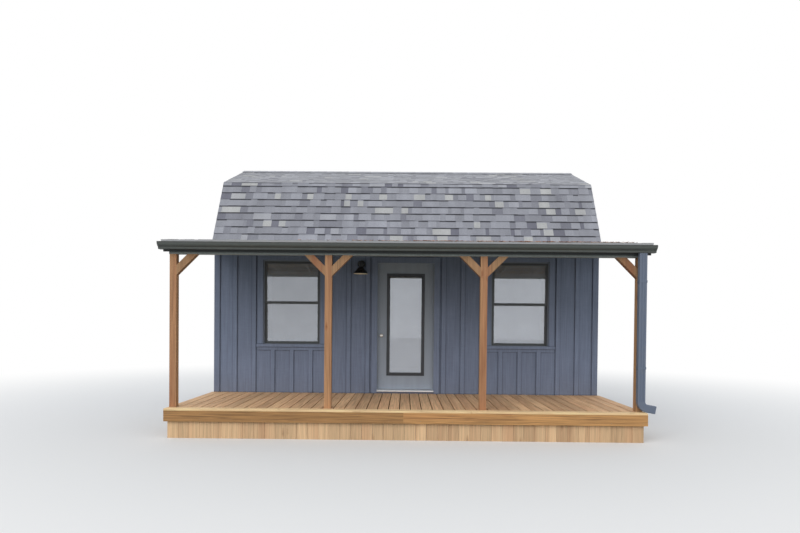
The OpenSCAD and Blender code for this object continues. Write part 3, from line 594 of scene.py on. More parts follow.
class CABIN_OT_finishes(bpy.types.Operator):
    """Gives every CAD piece its finish"""
    bl_idname = "cabin.finishes"
    bl_label = "Finish the CAD pieces"
    bl_options = {"REGISTER", "UNDO"}

    def execute(self, context):
        c = context.scene.cabin_colours
        lining = tuple(c.lining)
        slant = math.radians(45)
        MATS.update({
            "siding": sawn_paint("SawnPanelPaint", tuple(c.siding), lining),
            "trim": sawn_paint("TrimPaint", shade(c.siding, 1.04)),
            "corner": sawn_paint("CornerPaint", tuple(c.corners)),
            # the fascia is drawn dark as painted shade under the gutter
            "eaves": sawn_paint("FasciaPaint", tuple(c.eaves)),
            "beam": sawn_paint("BeamPaint", tuple(c.beam)),
            "door": brushed_paint("DoorPaint", tuple(c.door)),
            "shingle": asphalt("GranuleShingle", tuple(c.shingle_dark), tuple(c.shingle),
                               tuple(c.shingle_pale)),
            "panel": sawn_wood("RoofPanelBoards", lining, "X", red=0.1, knots=0.4),
            # the porch ceiling's sheathing and rafters are drawn dark as painted shade under the
            # porch roof, which also throws little light back on to the top of the wall
            "sheath": sawn_wood("DarkStainedSheathing", linear("#504c45"), "X", red=0.1, knots=0.3),
            "rafter": sawn_wood("DarkStainedRafter", linear("#5a554c"), "Y", red=0.1, knots=0.3),
            "treated": sawn_wood("TreatedSoftwood", linear("#857a56"), "X", red=0.05),
            "floor": sawn_wood("FloorBoards", linear("#a08058"), "X", red=0.1, knots=0.3),
            "post": sawn_wood("CedarPost", tuple(c.cedar), "Z", red=0.45, knots=0.85, spread=0.1,
                              depth=1.2),
            "brace": sawn_wood("CedarBrace", shade(c.cedar, 0.78), "Z", turn=(0, slant, 0),
                               red=0.75, knots=0.3),
            "deck": sawn_wood("DeckStain", tuple(c.deck), "Y", red=0.25, knots=0.5, spread=0.17,
                              depth=0.95),
            # the border board is drawn 1.6 times as light as the deck: its stain and a painted
            # highlight along the deck's front edge
            "border": sawn_wood("BorderStain", shade(c.deck, 1.6), "X", red=0.1, knots=0.5,
                                spread=0.08),
            "fascia": sawn_wood("FasciaStain", tuple(c.fascia), "X", red=0.5, knots=0.9, depth=1.5,
                                knot_size=1.8, joint=-0.02),
            "skirt": sawn_wood("SkirtBoardWood", tuple(c.skirt), "Z", red=0.3, knots=0.4,
                               spread=0.12, depth=0.65),
            "blind": sawn_wood("BlindSlatStain", tuple(c.blind), "X", red=0.1, knots=0.0,
                               spread=0.3, roughness=0.5),
            "blind_head": sawn_wood("BlindHeadStain", linear("#d6b585"), "X", red=0.1, knots=0.0,
                                    roughness=0.5),
            "gutter": rolled_gutter("GutterEnamel", tuple(c.gutter),
                                    *(corner.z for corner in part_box("gutter"))),
            "downspout": enamel("DownspoutEnamel", tuple(c.downspout), 0.4, dust=0.12),
            "drip": enamel("DripEdgeEnamel", linear("#a4a6aa"), 0.45),
            "vinyl": enamel("FrameVinyl", tuple(c.window), 0.42, dust=0.08),
            "sash": enamel("BronzeSashVinyl", tuple(c.sash), 0.4, dust=0.08),
            "lite": enamel("GlazingFrameVinyl", linear("#2e3239"), 0.4, dust=0.06),
            "rubber": enamel("SealRubber", linear("#242527"), 0.7, dust=0.15),
            "lamp": enamel("LampEnamel", linear("#1f2226"), 0.3, dust=0.1),
            "cream": enamel("CreamEnamel", linear("#efe6cf"), 0.35, dust=0.1, dust_code="#b8ad92"),
            "bulb": enamel("FrostedBulb", linear("#f2ecdc"), 0.25, dust=0.05, dust_code="#cfc8b4"),
            "sill": metal("MillAluminium", linear("#f4f6fa"), 0.6),
            "nickel": metal("SatinNickel", linear("#dad8d4"), 0.32),
            # the roses are drawn a darker nickel than the knob
            "rose": metal("WornNickel", linear("#8d8a84"), 0.42),
            "zinc": metal("ZincScrew", linear("#9a978c"), 0.45),
            "glass": sealed_pane("SealedPane"),
            "concrete": cast_concrete("CastConcrete"),
            "leaf": dry_leaf("DryLeaf"),
        })
        of_node = {
            "siding": ["front_wall_piers", "front_wall_infills", "rear_wall", "gable_walls"],
            "trim": ["base_boards", "wall_battens", "door_casing", "window_casings"],
            "corner": ["corner_boards", "rake_boards"],
            "eaves": ["eave_boards"], "beam": ["porch_beams"],
            "door": ["door_frame", "door_stops", "door_slab"],
            "shingle": ["shingles_lower", "shingles_upper", "ridge_cap", "porch_shingles"],
            "panel": ["roof_lower_panels", "roof_upper_panels"],
            "sheath": ["porch_roof"], "rafter": ["porch_rafters"],
            "treated": ["skids", "deck_joists"], "floor": ["shed_floor"],
            "post": ["porch_posts"], "brace": ["knee_braces"],
            "deck": ["deck_boards"], "fascia": ["deck_fascia"],
            "skirt": ["skirt_boards"], "blind": ["window_blinds"], "gutter": ["gutter"],
            "downspout": ["downspout"], "vinyl": ["window_frames"], "sash": ["window_sashes"],
            "lite": ["door_lite_frame"], "lamp": ["lamp_bracket", "lamp_shade"],
            "bulb": ["lamp_bulb"], "sill": ["threshold"],
            "nickel": ["door_hinges", "door_knob"], "rose": ["door_hardware"],
            "glass": ["window_glass", "door_glass"], "concrete": ["foundation_blocks"],
        }
        done = set()
        for key, names in of_node.items():
            for name in names:
                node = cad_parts[name]
                if not node.material_slots:
                    node.data.materials.append(None)
                for place in node.material_slots:
                    place.material = MATS[key]
                done.add(name)
        missing = set(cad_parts) - done
        if missing:
            raise RuntimeError(f"no finish for {sorted(missing)}")
        return {"FINISHED"}


class CABIN_OT_shingles(bpy.types.Operator):
    """Lays the shingle courses and the ridge caps"""
    bl_idname = "cabin.shingles"
    bl_label = "Lay the shingles"
    bl_options = {"REGISTER", "UNDO"}

    def tab(self, reach, thick):
        # one tab a metre wide: thick at the butt, thin at the head, its butt edge worn round, and
        # cut across where the dark granules start that lie under the next butt
        obj = block("tab", (-0.5, 0, 0), (0.5, reach, thick))
        with editing():
            bpy.ops.mesh.select_all(action="SELECT")
            bpy.ops.mesh.bisect(plane_co=(0, reach - DARK_HEAD, 0), plane_no=(0, 1, 0))
            for y, sunk in ((reach, 0.75), (reach - DARK_HEAD, 0.62)):
                pick("verts", lambda v: abs(v.co.y - y) < 0.001 and v.co.z > thick / 2,
                     (0, 0, -sunk * thick))
            pick("edges", lambda e: all(v.co.y < 0.01 and v.co.z > thick / 2 for v in e.verts))
            bpy.ops.mesh.bevel(offset=0.0016, segments=1, affect="EDGES")
        return obj

    def slope(self, name, foot, head, half, thick, seed, course, sides, proud=0.97, edge=0.0,
              first_butt_highlight=None, starter=0.0):
        # laminated shingles: thick tabs stand between thin ones, so the shadow under a course is
        # ragged;
        # a tab's tones are its own, its butt edge's painted shade, and its head's dark granules,
        # which are also painted shadow under the next butt
        rng = random.Random(seed)
        reach = course + UNDERLAP
        places, tones = [], []
        for side in sides:
            start, end = Vector((0, side * foot.y, foot.z)), Vector((0, side * head.y, head.z))
            up = (end - start).normalized()
            out = Vector((0, up.z, -up.y)) if up.y < 0 else Vector((0, -up.z, up.y))
            across = up.cross(out)
            total = (end - start).length

            def lay(left, right, s, part, tall):
                spot = start + up * s + Vector(((left + right) / 2, 0, 0)) - out * (thick - 0.0003)
                place = Matrix.Identity(4)
                for i in range(3):
                    place[i][0] = across[i] * (right - left)
                    place[i][1] = up[i] * part
                    place[i][2] = out[i] * tall
                    place[i][3] = spot[i]
                places.append(place)

            if starter and side > 0:
                # the starter strip under the first course closes the joint with the porch roof
                lay(-half, half, -starter, (starter + STARTER_HIDDEN) / reach, 0.3)
                tones.append((0.16, 0.1, 0.0))
            for row in range(math.ceil(total / course)):
                s = row * course
                part = min(1.0, (total - s) / reach)
                x, tall = -half, rng.random() < 0.5
                while x < half - 1e-6:
                    tall = not tall
                    width = rng.choice(
                        (0.1, 0.14, 0.17, 0.22, 0.28) if tall else (0.06, 0.09, 0.13, 0.17))
                    right = min(half, x + width * rng.uniform(0.9, 1.1))
                    if half - right < 0.03:
                        right = half
                    lay(x, right, s, part, proud if tall else proud * 0.58)
                    own = rng.gauss(0.62, 0.22) if tall else rng.gauss(0.3, 0.17)
                    own = max(0.04, min(1.0, own))
                    # the head's dark granules: near black on most tabs, partly print and partly
                    # painted shadow under the next butt
                    band = 0.0 if rng.random() < 0.65 else own * 0.6
                    # butt edge: painted shade, or on the first course a painted highlight where one
                    # is given
                    tones.append((own, first_butt_highlight if first_butt_highlight and row == 0 else edge, band))
                    x = right

        def layers(p):
            if p.normal.y < -0.9:
                return 1
            return 2 if p.normal.z > 0.5 and p.center.y > reach - DARK_HEAD else 0

        return stamp(name, self.tab(reach, thick), places, tones, layers)

    def execute(self, context):
        course = context.scene.cabin_sizes.course
        lower = self.slope(
            "shingle_courses_lower", FOOT, BREAK, ROOF_HIGH.x, SKIN, 11, course, (1, -1),
            starter=STARTER)
        dress(lower, "shingle", "shingles", "shingles_lower")
        # the upper slope's tabs stand less proud, and their butt edges take a lighter painted shade
        upper = self.slope(
            "shingle_courses_upper", BREAK, RIDGE, TOP_HIGH.x, SKIN, 12, course, (1, -1), 0.5, 0.3)
        dress(upper, "shingle", "shingles", "shingles_upper")
        front, back = (Vector((0, y, porch_height(y))) for y in (PORCH_LOW.y, PORCH_HIGH.y))
        # the butt edges of the porch's first course are a painted highlight
        porch = self.slope(
            "shingle_courses_porch", front, back, PORCH_HIGH.x, PORCH_SKIN, 13, course, (1,),
            first_butt_highlight=0.9)
        dress(porch, "shingle", "shingles", "porch_shingles")
        # ridge caps: a grid folded over the ridge, given its thickness, then laid along it
        half, rise = CAP_HIGH.y, CAP_HIGH.z - CAP_LOW.z - 0.0065
        bpy.ops.object.select_all(action="DESELECT")
        bpy.ops.mesh.primitive_grid_add(
            x_subdivisions=1, y_subdivisions=4, size=1, location=(0, 0, 0))
        bpy.ops.transform.resize(value=(course + CAP_UNDERLAP, 2 * half, 1))
        cap = applied(bpy.context.object)
        with editing():
            pick("verts", lambda v: abs(v.co.y) < 1e-5, (0, 0, rise - 0.0006))
            pick("verts", lambda v: 0.1 < abs(v.co.y) / half < 0.9, (0, 0, rise / 2))
            pick("verts", lambda v: v.co.x < 0, (0, 0, -0.0028))
            # the lower edges are pressed down on to the courses
            pick("verts", lambda v: abs(v.co.y) > 0.9 * half, (0, 0, -0.0045))
        thicken(cap, 0.003, 1)
        rng = random.Random(14)
        count = math.ceil((CAP_HIGH.x - CAP_LOW.x) / course)
        step = (CAP_HIGH.x - CAP_LOW.x - course - CAP_UNDERLAP) / (count - 1)
        start = CAP_LOW.x + (course + CAP_UNDERLAP) / 2
        places = [shift(start + i * step, 0, CAP_LOW.z + 0.0031) for i in range(count)]
        caps = stamp("ridge_cap_pieces", cap, places, [rng.uniform(0.3, 0.8) for _ in places])
        dress(caps, "shingle", "shingles", "ridge_cap")
        return {"FINISHED"}


class CABIN_OT_deck(bpy.types.Operator):
    """Lays the deck boards, the border board, the skirt boards and their screws"""
    bl_idname = "cabin.deck"
    bl_label = "Lay the deck"
    bl_options = {"REGISTER", "UNDO"}

    def execute(self, context):
        sizes = context.scene.cabin_sizes
        rng = random.Random(21)
        low, high = DECK_LOW, DECK_HIGH
        gap, count = sizes.board_gap, sizes.deck_boards
        pitch = (high.x - low.x + gap) / count
        wide = pitch - gap
        back = low.y + BORDER + BORDER_GAP
        model = block("board", (-wide / 2, back, low.z), (wide / 2, high.y, high.z), 0.003, 2)
        xs = [low.x + wide / 2 + i * pitch for i in range(count)]
        boards = stamp("deck_planks", model, [shift(x, 0, rng.uniform(-0.001, 0)) for x in xs],
                       [rng.random() for _ in xs])
        dress(boards, "deck", "deck_wood", "deck_boards")
        halves = [block("border", (x0, low.y, low.z), (x1, low.y + BORDER, high.z), 0.003, 2)
                  for x0, x1 in ((low.x, BORDER_JOINT - 0.002), (BORDER_JOINT + 0.002, high.x))]
        dress(joined("deck_border_board", halves), "border", "deck_wood", "deck_boards")
        head = disc("head", (0, 0, 0), 0.0045, 0.003, dish=0.0009)
        spots = []
        for x in xs:
            for y in JOISTS:
                for side in (-0.045, 0.045):
                    spot = x + side + rng.uniform(-0.004, 0.004), y + rng.uniform(-0.004, 0.004)
                    spots.append((*spot, high.z - 0.0008))
        for i in range(BORDER_NAILS):
            x = low.x + 0.05 + i * (high.x - low.x - 0.1) / (BORDER_NAILS - 1)
            spots += [(x, y, high.z - 0.001) for y in (-3.77, -3.69)]
        screws = stamp(
            "deck_screws", head, [shift(*s) for s in spots], [rng.random() for _ in spots])
        dress(screws, "zinc", "nickel")
        # nails in the deck fascia
        nail = disc("nail", (0, 0, 0), 0.004, 0.003, axis="Y", dish=0.0004)
        step = (high.x - low.x - 0.12) / (BORDER_NAILS - 1)
        places = [shift(low.x + 0.06 + i * step, low.y + 0.0012, z)
                  for i in range(BORDER_NAILS) for z in (0.25, 0.33)]
        nails = stamp("fascia_nails", nail, places, [rng.random() for _ in places])
        dress(nails, "zinc", "nickel")
        self.skirt(sizes.picket, rng)
        return {"FINISHED"}

    def skirt(self, wide, rng):
        # one picket a unit wide, stretched to each run's board width
        picket = block("picket", (-0.5, -0.0095, 0), (0.5, 0.0095, 1))
        with editing():
            pick("edges", lambda e: abs(e.verts[0].co.z - e.verts[1].co.z) > 0.5)
            bpy.ops.mesh.bevel(offset=0.0012, segments=1, affect="EDGES")
        # runs of pickets: start, end and height
        runs = [
            ((-3.072, -3.7525), (3.072, -3.7525), 0.36),
            ((-3.0625, -3.743), (-3.0625, -1.84), 0.36), ((3.0625, -3.743), (3.0625, -1.84), 0.36),
            ((-3.0385, -1.829), (-3.0385, 1.829), 0.254),
            ((3.0385, -1.829), (3.0385, 1.829), 0.254),
            ((-3.0285, 1.8195), (3.0285, 1.8195), 0.254),
            ((-3.072, -1.83), (-3.0485, -1.83), 0.2535), ((3.0485, -1.83), (3.072, -1.83), 0.2535),
        ]
        places, tones = [], []
        for (x0, y0), (x1, y1), tall in runs:
            start, end = Vector((x0, y0, 0)), Vector((x1, y1, 0))
            total = (end - start).length
            count = max(1, round(total / wide))
            along = (end - start).normalized()
            turn = Matrix.Rotation(math.atan2(along.y, along.x), 4, "Z")
            step = total / count
            for i in range(count):
                spot = start + along * step * (i + 0.5)
                places.append(Matrix.Translation(spot) @ turn
                              @ Matrix.Diagonal((step - 0.0025, 1, tall, 1)))
                tones.append(rng.random())
        skirt = stamp("skirt_pickets", picket, places, tones)
        dress(skirt, "skirt", "skirt_wood", "skirt_boards")


class CABIN_OT_nails(bpy.types.Operator):
    """Drives painted nails along the battens and corner boards"""
    bl_idname = "cabin.nails"
    bl_label = "Nail the battens"
    bl_options = {"REGISTER", "UNDO"}

    def execute(self, context):
        # outer faces of the upright boards: middle, way it faces, foot and top
        strips = {}
        for name in ("wall_battens", "corner_boards"):
            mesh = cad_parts[name].data
            for face in mesh.polygons:
                n = face.normal
                corner = [mesh.vertices[v].co for v in face.vertices]
                low = Vector(min(v[i] for v in corner) for i in range(3))
                high = Vector(max(v[i] for v in corner) for i in range(3))
                spot = (low + high) / 2
                outer = 1.85 if abs(n.y) > 0.9 else 3.07
                if abs(n.z) > 0.1 or n.dot(spot) < outer or max((high - low).xy) < 0.02:
                    continue
                key = (round(spot.x, 3), round(spot.y, 3), round(n.x), round(n.y), round(low.z, 2))
                strips[key] = min(strips.get(key, 9.0), high.z)
        head = disc("nail", (0, 0, 0), 0.0038, 0.0026, axis="Y", sides=10, dish=0.0003)
        places = []
        for (x, y, nx, ny, foot), top in strips.items():
            turn = Matrix.Rotation(math.pi / 2, 4, "Z") if nx else Matrix.Identity(4)
            run = top - foot - 2 * NAIL_END
            count = max(1, math.ceil(run / NAIL_STEP))
            for i in range(count + 1):
                z = foot + NAIL_END + run * i / count
                places.append(shift(x - nx * 0.001, y - ny * 0.001, z) @ turn)
        rng = random.Random(41)
        nails = stamp("batten_nails", head, places, [rng.random() for _ in places])
        dress(nails, "trim", "siding_paint")
        return {"FINISHED"}


class CABIN_OT_windows(bpy.types.Operator):
    """Adds glazing beads, sash locks, lifts and the slats of the raised blinds"""
    bl_idname = "cabin.windows"
    bl_label = "Detail the windows"
    bl_options = {"REGISTER", "UNDO"}

    def execute(self, context):
        sizes = context.scene.cabin_sizes
        rng = random.Random(31)
        glass_low, glass_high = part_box("window_glass")
        blind_low, blind_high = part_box("window_blinds")
        half = glass_high.x - WINDOW_X
        beads, locks, slats, heads, cords = [], [], [], [], []
        for side in (-1, 1):
            x = WINDOW_X * side
            for z0, z1, (y_out, y_in) in ((RAIL_HIGH, glass_high.z, UPPER_SASH),
                                          (glass_low.z, RAIL_LOW, LOWER_SASH)):
                for y0, y1, ease in ((y_out + 0.0015, y_out + 0.0068, 0.0025),
                                     (y_in - 0.006, y_in - 0.0015, 0.0)):
                    beads.append(ring("bead", (x - half, y0, z0), (x + half, y1, z1), 0.009, ease))
            # cam lock on the meeting rail and a lift on the lower rail
            keeper = block(
                "keeper", (x - 0.03, -1.7665, 1.822), (x + 0.03, -1.7515, 1.834), 0.002, 2)
            cam = disc("cam", (x, -1.759, 1.837), 0.0085, 0.008, sides=24, dish=0.001)
            lever = block(
                "lever", (x - 0.002, -1.763, 1.8355), (x + 0.036, -1.756, 1.8405), 0.0015, 2)
            lift = block("lift", (x - 0.05, -1.7665, 1.178), (x + 0.05, -1.7545, 1.186), 0.002, 2)
            locks += [keeper, cam, lever, lift]
            # blind: head rail, slats, bottom rail
            lo, hi = x - BLIND_HALF, x + BLIND_HALF
            front, back = blind_low.y, blind_high.y
            top, foot = blind_high.z, blind_low.z
            heads += [
                block("head", (lo, front, top - 0.055), (hi, back, top - 0.0005), 0.003, 2),
                block("foot", (lo, front + 0.004, foot), (hi, back - 0.004, foot + 0.016),
                      0.004, 2)]
            slat = block("slat", (lo + 0.002, front + 0.001, -0.0013),
                         (hi - 0.002, back - 0.001, 0.0013))
            with editing():
                pick("edges", lambda e: abs(e.verts[0].co.y - e.verts[1].co.y) > 0.02)
                bpy.ops.mesh.subdivide(number_cuts=3)
                pick("verts", lambda v: abs(v.co.y - (front + back) / 2) < 0.012, (0, 0, 0.0016))
            room = top - 0.06 - (foot + 0.02)
            count = int(room / sizes.slat_pitch)
            zs = [foot + 0.021 + (i + 0.3) * room / count for i in range(count)]
            slats.append(stamp("slats", slat, [shift(rng.uniform(-0.002, 0.002), 0, z) for z in zs],
                               [rng.random() for _ in zs]))
            for dx in (-0.3, 0.3):
                cords.append(block("tape", (x + dx - 0.003, front + 0.0002, foot + 0.01),
                                   (x + dx + 0.003, front + 0.0009, top - 0.04)))
        dress(joined("glazing_beads", beads), "sash", "window_dark")
        dress(joined("sash_locks", locks), "sash", "window_dark")
        dress(joined("blind_slats", slats), "blind", "blind_wood", "window_blinds")
        dress(joined("blind_rails", heads), "blind_head", "blind_wood", "window_blinds")
        dress(joined("blind_tapes", cords), "blind_head", "blind_wood")
        return {"FINISHED"}


class CABIN_OT_door(bpy.types.Operator):
    """Adds the door's mouldings, seals, latch and lock"""
    bl_idname = "cabin.door"
    bl_label = "Detail the door"
    bl_options = {"REGISTER", "UNDO"}

    def execute(self, context):
        low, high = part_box("door_glass")
        slab_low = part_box("door_slab")[0]
        lite_low, lite_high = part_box("door_lite_frame")
        x0, z0, x1, z1 = low.x - 0.016, low.z - 0.016, high.x + 0.016, high.z + 0.016
        mouldings = [
            ring("moulding", (x0, y0, z0), (x1, y1, z1), 0.014, ease)
            for y0, y1, ease in ((lite_low.y - 0.003, lite_low.y + 0.001, 0.0025),
                                 (lite_high.y - 0.001, lite_high.y + 0.003, 0.0))]
        dress(joined("door_lite_mouldings", mouldings), "lite", "lite_dark", body="door")
        gaskets = [ring("gasket", (low.x, y0, low.z), (high.x, y1, high.z), 0.006)
                   for y0, y1 in ((low.y - 0.004, low.y - 0.0002),
                                  (high.y + 0.0002, high.y + 0.004))]
        dress(joined("door_gaskets", gaskets), "rubber", "lite_dark", body="door")
        # plugs over the screws of the glazing frame, on the room side
        plug = disc("plug", (0, 0, 0), 0.006, 0.0016, axis="Y", sides=16, dish=0.0003)
        xs = [lite_low.x + 0.018, lite_high.x - 0.018]
        zs = [lite_low.z + 0.12 + i * (lite_high.z - lite_low.z - 0.24) / 6 for i in range(7)]
        spots = [(x, z) for x in xs for z in zs]
        spots += [(0, lite_low.z + 0.018), (0, lite_high.z - 0.018)]
        places = [shift(x, lite_high.y + 0.0007, z) for x, z in spots]
        plugs = stamp("door_screw_plugs", plug, places, [0.5] * len(places))
        dress(plugs, "lite", "lite_dark", body="door")
        # bulb seals in the gap between the leaf and the stops
        y0, y1 = slab_low.y - 0.0048, slab_low.y - 0.0004
        seals = [
            block("seal", (s * 0.450 - 0.005, y0, 0.452), (s * 0.450 + 0.005, y1, 2.478), 0.0015, 2)
            for s in (-1, 1)]
        seals.append(block("seal", (-0.444, y0, 2.4725), (0.444, y1, 2.4825), 0.0015, 2))
        dress(joined("door_seals", seals), "rubber", "lite_dark")
        # latch plate on the leaf, strike plate on the jamb
        x, y, z = slab_low.x, LOCK_Y, KNOB_Z
        latch = block("latch", (x - 0.0012, y - 0.0125, z - 0.0285),
                      (x + 0.0005, y + 0.0125, z + 0.0285), 0.0004)
        bolt = block("bolt", (x - 0.0035, y - 0.005, z - 0.009), (x, y + 0.005, z + 0.009),
                     0.0015, 2)
        dress(joined("door_latch", [latch, bolt]), "nickel", "nickel", body="door")
        strike = ring(
            "door_strike_plate", (-0.0285, -0.00065, -0.0145), (0.0285, 0.00065, 0.0145), 0.008)
        strike.location, strike.rotation_euler = (-0.4634, y, z), (0, math.pi / 2, math.pi / 2)
        applied(strike)
        dress(strike, "nickel", "nickel")
        # key cylinder in the outer knob, screws in the inner rose
        knob_low, knob_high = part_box("door_knob")
        kx, kz = (knob_low.x + knob_high.x) / 2, (knob_low.z + knob_high.z) / 2
        barrel = disc(
            "knob_key_cylinder", (kx, knob_low.y - 0.0004, kz), 0.008, 0.003, axis="Y", sides=32,
            dish=0.0004)
        slot = block(
            "knob_keyway", (kx - 0.0008, knob_low.y - 0.0022, kz - 0.0045),
            (kx + 0.0008, knob_low.y - 0.0015, kz + 0.0045))
        dress(barrel, "nickel", "nickel", body="knob")
        dress(slot, "rubber", "lite_dark", body="knob")
        screw = disc("screw", (0, 0, 0), 0.0035, 0.0016, axis="Y", sides=16, dish=0.0005)
        places = [shift(kx + s * 0.024, -1.7214, kz) for s in (-1, 1)]
        dress(stamp("rose_screws", screw, places, [0.5, 0.5]), "nickel", "nickel", body="door")
        return {"FINISHED"}


class CABIN_OT_rain_goods(bpy.types.Operator):
    """Models the fluted downspout, the gutter hangers and the drip edge"""
    bl_idname = "cabin.rain_goods"
    bl_label = "Detail the gutter and downspout"
    bl_options = {"REGISTER", "UNDO"}

    def execute(self, context):
        sizes = context.scene.cabin_sizes
        low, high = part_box("gutter")
        # hangers: a strap across the trough, turned down at both ends
        count = round((high.x - low.x - 0.3) / sizes.hanger_pitch)
        strap = block(
            "hanger", (-0.0125, low.y + 0.004, high.z - 0.0105),
            (0.0125, high.y - 0.0035, high.z - 0.0085), 0.0006)
        lug = block(
            "lug", (-0.0125, low.y + 0.004, high.z - 0.022),
            (0.0125, low.y + 0.006, high.z - 0.0095))
        plate = block(
            "plate", (-0.016, high.y - 0.0055, high.z - 0.04),
            (0.016, high.y - 0.0035, high.z - 0.0085))
        model = joined("hanger", [strap, lug, plate])
        places = [
            shift(low.x + 0.15 + i * (high.x - low.x - 0.3) / count, 0, 0)
            for i in range(count + 1)]
        dress(stamp("gutter_hangers", model, places, [0.5] * len(places)), "zinc", "gutter_paint")
        # drip edge: a folded strip over the edges of the porch sheathing, its foot kicked out
        deck_low, deck_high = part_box("porch_roof")
        front, back = deck_low.y - 0.0012, -1.881
        edge = drip_height(deck_low.y)
        drip = block("drip", (deck_low.x, front, edge - 0.03),
                     (deck_high.x, deck_low.y - 0.0002, edge))
        with editing():
            pick("faces", lambda f: f.normal.z < -0.9)
            bpy.ops.mesh.extrude_region_move(TRANSFORM_OT_translate={"value": (0, -0.004, -0.005)})
        sides = []
        for s in (-1, 1):
            x0, x1 = sorted((s * (deck_high.x + 0.0004), s * (deck_high.x + 0.0014)))
            strip = block("drip", (x0, front, -0.028), (x1, back, 0))
            with editing():
                # the strip follows the fall of the porch roof, and its foot is kicked out
                for y in (front, back):
                    pick("verts", lambda v: abs(v.co.y - y) < 1e-4, (0, 0, drip_height(y)))
                pick("faces", lambda f: f.normal.z < -0.9)
                bpy.ops.mesh.extrude_region_move(
                    TRANSFORM_OT_translate={"value": (s * 0.003, 0, -0.004)})
            sides.append(strip)
        dress(joined("porch_drip_edge", [drip, *sides]), "drip", "gutter_paint")
        self.spout()
        return {"FINISHED"}

    def spout(self):
        low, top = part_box("downspout")[0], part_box("gutter")[0].z
        # section and corners of the pipe, then inner radius, turn and outlet of its elbow
        wide, deep, corner = 0.102, 0.070, 0.009
        inner, turn, out = 0.04, math.radians(80), 0.112
        cx, cy = low.x + wide / 2, -3.7093
        left, right, front, back = cx - wide / 2, cx + wide / 2, cy - deep / 2, cy + deep / 2
        centre = Vector((right + inner, cy, 0.527))
        pipe = block("fluted_downspout", (left, front, centre.z), (right, back, top))
        with editing():
            # corners eased, then every other strip of each side pressed in as a flute
            pick("edges", lambda e: abs(e.verts[0].co.z - e.verts[1].co.z) > 0.5)
            bpy.ops.mesh.bevel(offset=corner, segments=3, affect="EDGES")
            pick("edges", lambda e: abs(e.verts[0].co.x - e.verts[1].co.x) > 0.06)
            bpy.ops.mesh.subdivide(number_cuts=4)
            pick("edges", lambda e: abs(e.verts[0].co.y - e.verts[1].co.y) > 0.04)
            bpy.ops.mesh.subdivide(number_cuts=2)
            pick("faces", lambda f: abs(f.normal.z) > 0.9)
            bpy.ops.mesh.delete(type="FACE")
            strip_x, strip_y = (wide - 2 * corner) / 5, (deep - 2 * corner) / 3

            def flute(f):
                m = f.calc_center_median()
                if abs(f.normal.y) > 0.99:
                    return int((m.x - left - corner) / strip_x) % 2 == 1
                if abs(f.normal.x) > 0.99:
                    return int((m.y - front - corner) / strip_y) % 2 == 1
                return False

            pick("faces", flute)
            bpy.ops.mesh.inset(
                thickness=0.0035, depth=-0.0045, use_individual=True, use_boundary=True)
        only(pipe)
        with editing():
            # the elbow: the open bottom edge is spun about the elbow's centre, then drawn out
            pick("edges", lambda e: len(e.link_faces) == 1 and all(
                abs(v.co.z - centre.z) < 1e-4 for v in e.verts))
            bpy.ops.mesh.spin(steps=12, angle=turn, center=centre, axis=(0, 1, 0), dupli=False)
            way = Vector((math.sin(turn), 0, -math.cos(turn)))
            bpy.ops.mesh.extrude_region_move(TRANSFORM_OT_translate={"value": way * out})
            bpy.ops.mesh.select_all(action="SELECT")
            bpy.ops.mesh.remove_doubles(threshold=0.0002)
            bpy.ops.mesh.normals_make_consistent(inside=False)
        thicken(pipe, 0.002, -1)
        dress(pipe, "downspout", "downspout_paint", "downspout")
        # straps round the pipe, screwed to the post
        x0, y0, x1, post, bands = left - 0.0015, front - 0.0015, right + 0.0015, -3.65, []
        for z0 in (0.945, 2.06):
            z1 = z0 + 0.03
            bands += [
                block("strap", (x0, y0, z0), (x1, front, z1), 0.0004),
                block("strap", (x0, y0, z0), (left, back, z1)),
                block("strap", (right, y0, z0), (x1, back, z1)),
                block("stay", (3.018, back, z0), (3.072, post, z1), 0.001)]
        dress(joined("downspout_straps", bands), "downspout", "downspout_paint", "downspout")


class CABIN_OT_lamp(bpy.types.Operator):
    """Adds the lamp's cream reflector and screws"""
    bl_idname = "cabin.lamp"
    bl_label = "Detail the wall lamp"
    bl_options = {"REGISTER", "UNDO"}

    def execute(self, context):
        low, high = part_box("lamp_shade")
        cx, cy, z0 = (low.x + high.x) / 2, low.y + SHADE_RADIUS, low.z
        # reflector: a ring drawn up the inside of the shade
        bpy.ops.object.select_all(action="DESELECT")
        bpy.ops.mesh.primitive_circle_add(
            vertices=64, radius=0.1146, location=(cx, cy, z0 + 0.0006))
        shell = applied(bpy.context.object)
        shell.name = "lamp_reflector"
        with editing():
            bpy.ops.mesh.select_all(action="SELECT")
            # radius and height of each ring of the shade's inside
            radius, level = 0.1146, 0.0006
            for r, z in ((0.1146, 0.0038), (0.1083, 0.0118), (0.0726, 0.0538), (0.0365, 0.0956),
                         (0.0325, 0.1086), (0.0145, 0.1086)):
                bpy.ops.mesh.extrude_region_move(
                    TRANSFORM_OT_translate={"value": (0, 0, z - level)})
                bpy.ops.transform.resize(
                    value=(r / radius, r / radius, 1), center_override=(cx, cy, z0 + z))
                radius, level = r, z
            bpy.ops.mesh.select_all(action="SELECT")
            bpy.ops.mesh.normals_make_consistent(inside=True)
        thicken(shell, 0.0003, -1)
        only(shell)
        bpy.ops.object.shade_smooth_by_angle(angle=math.radians(35))
        dress(shell, "cream", "lamp_black")
        screw = disc("screw", (0, 0, 0), 0.004, 0.0024, axis="Y", sides=16, dish=0.0006)
        places = [shift(cx + s * 0.042, -SIDING_Y - 0.0228, LAMP_Z) for s in (-1, 1)]
        dress(stamp("lamp_screws", screw, places, [0.5, 0.5]), "zinc", "nickel")
        return {"FINISHED"}


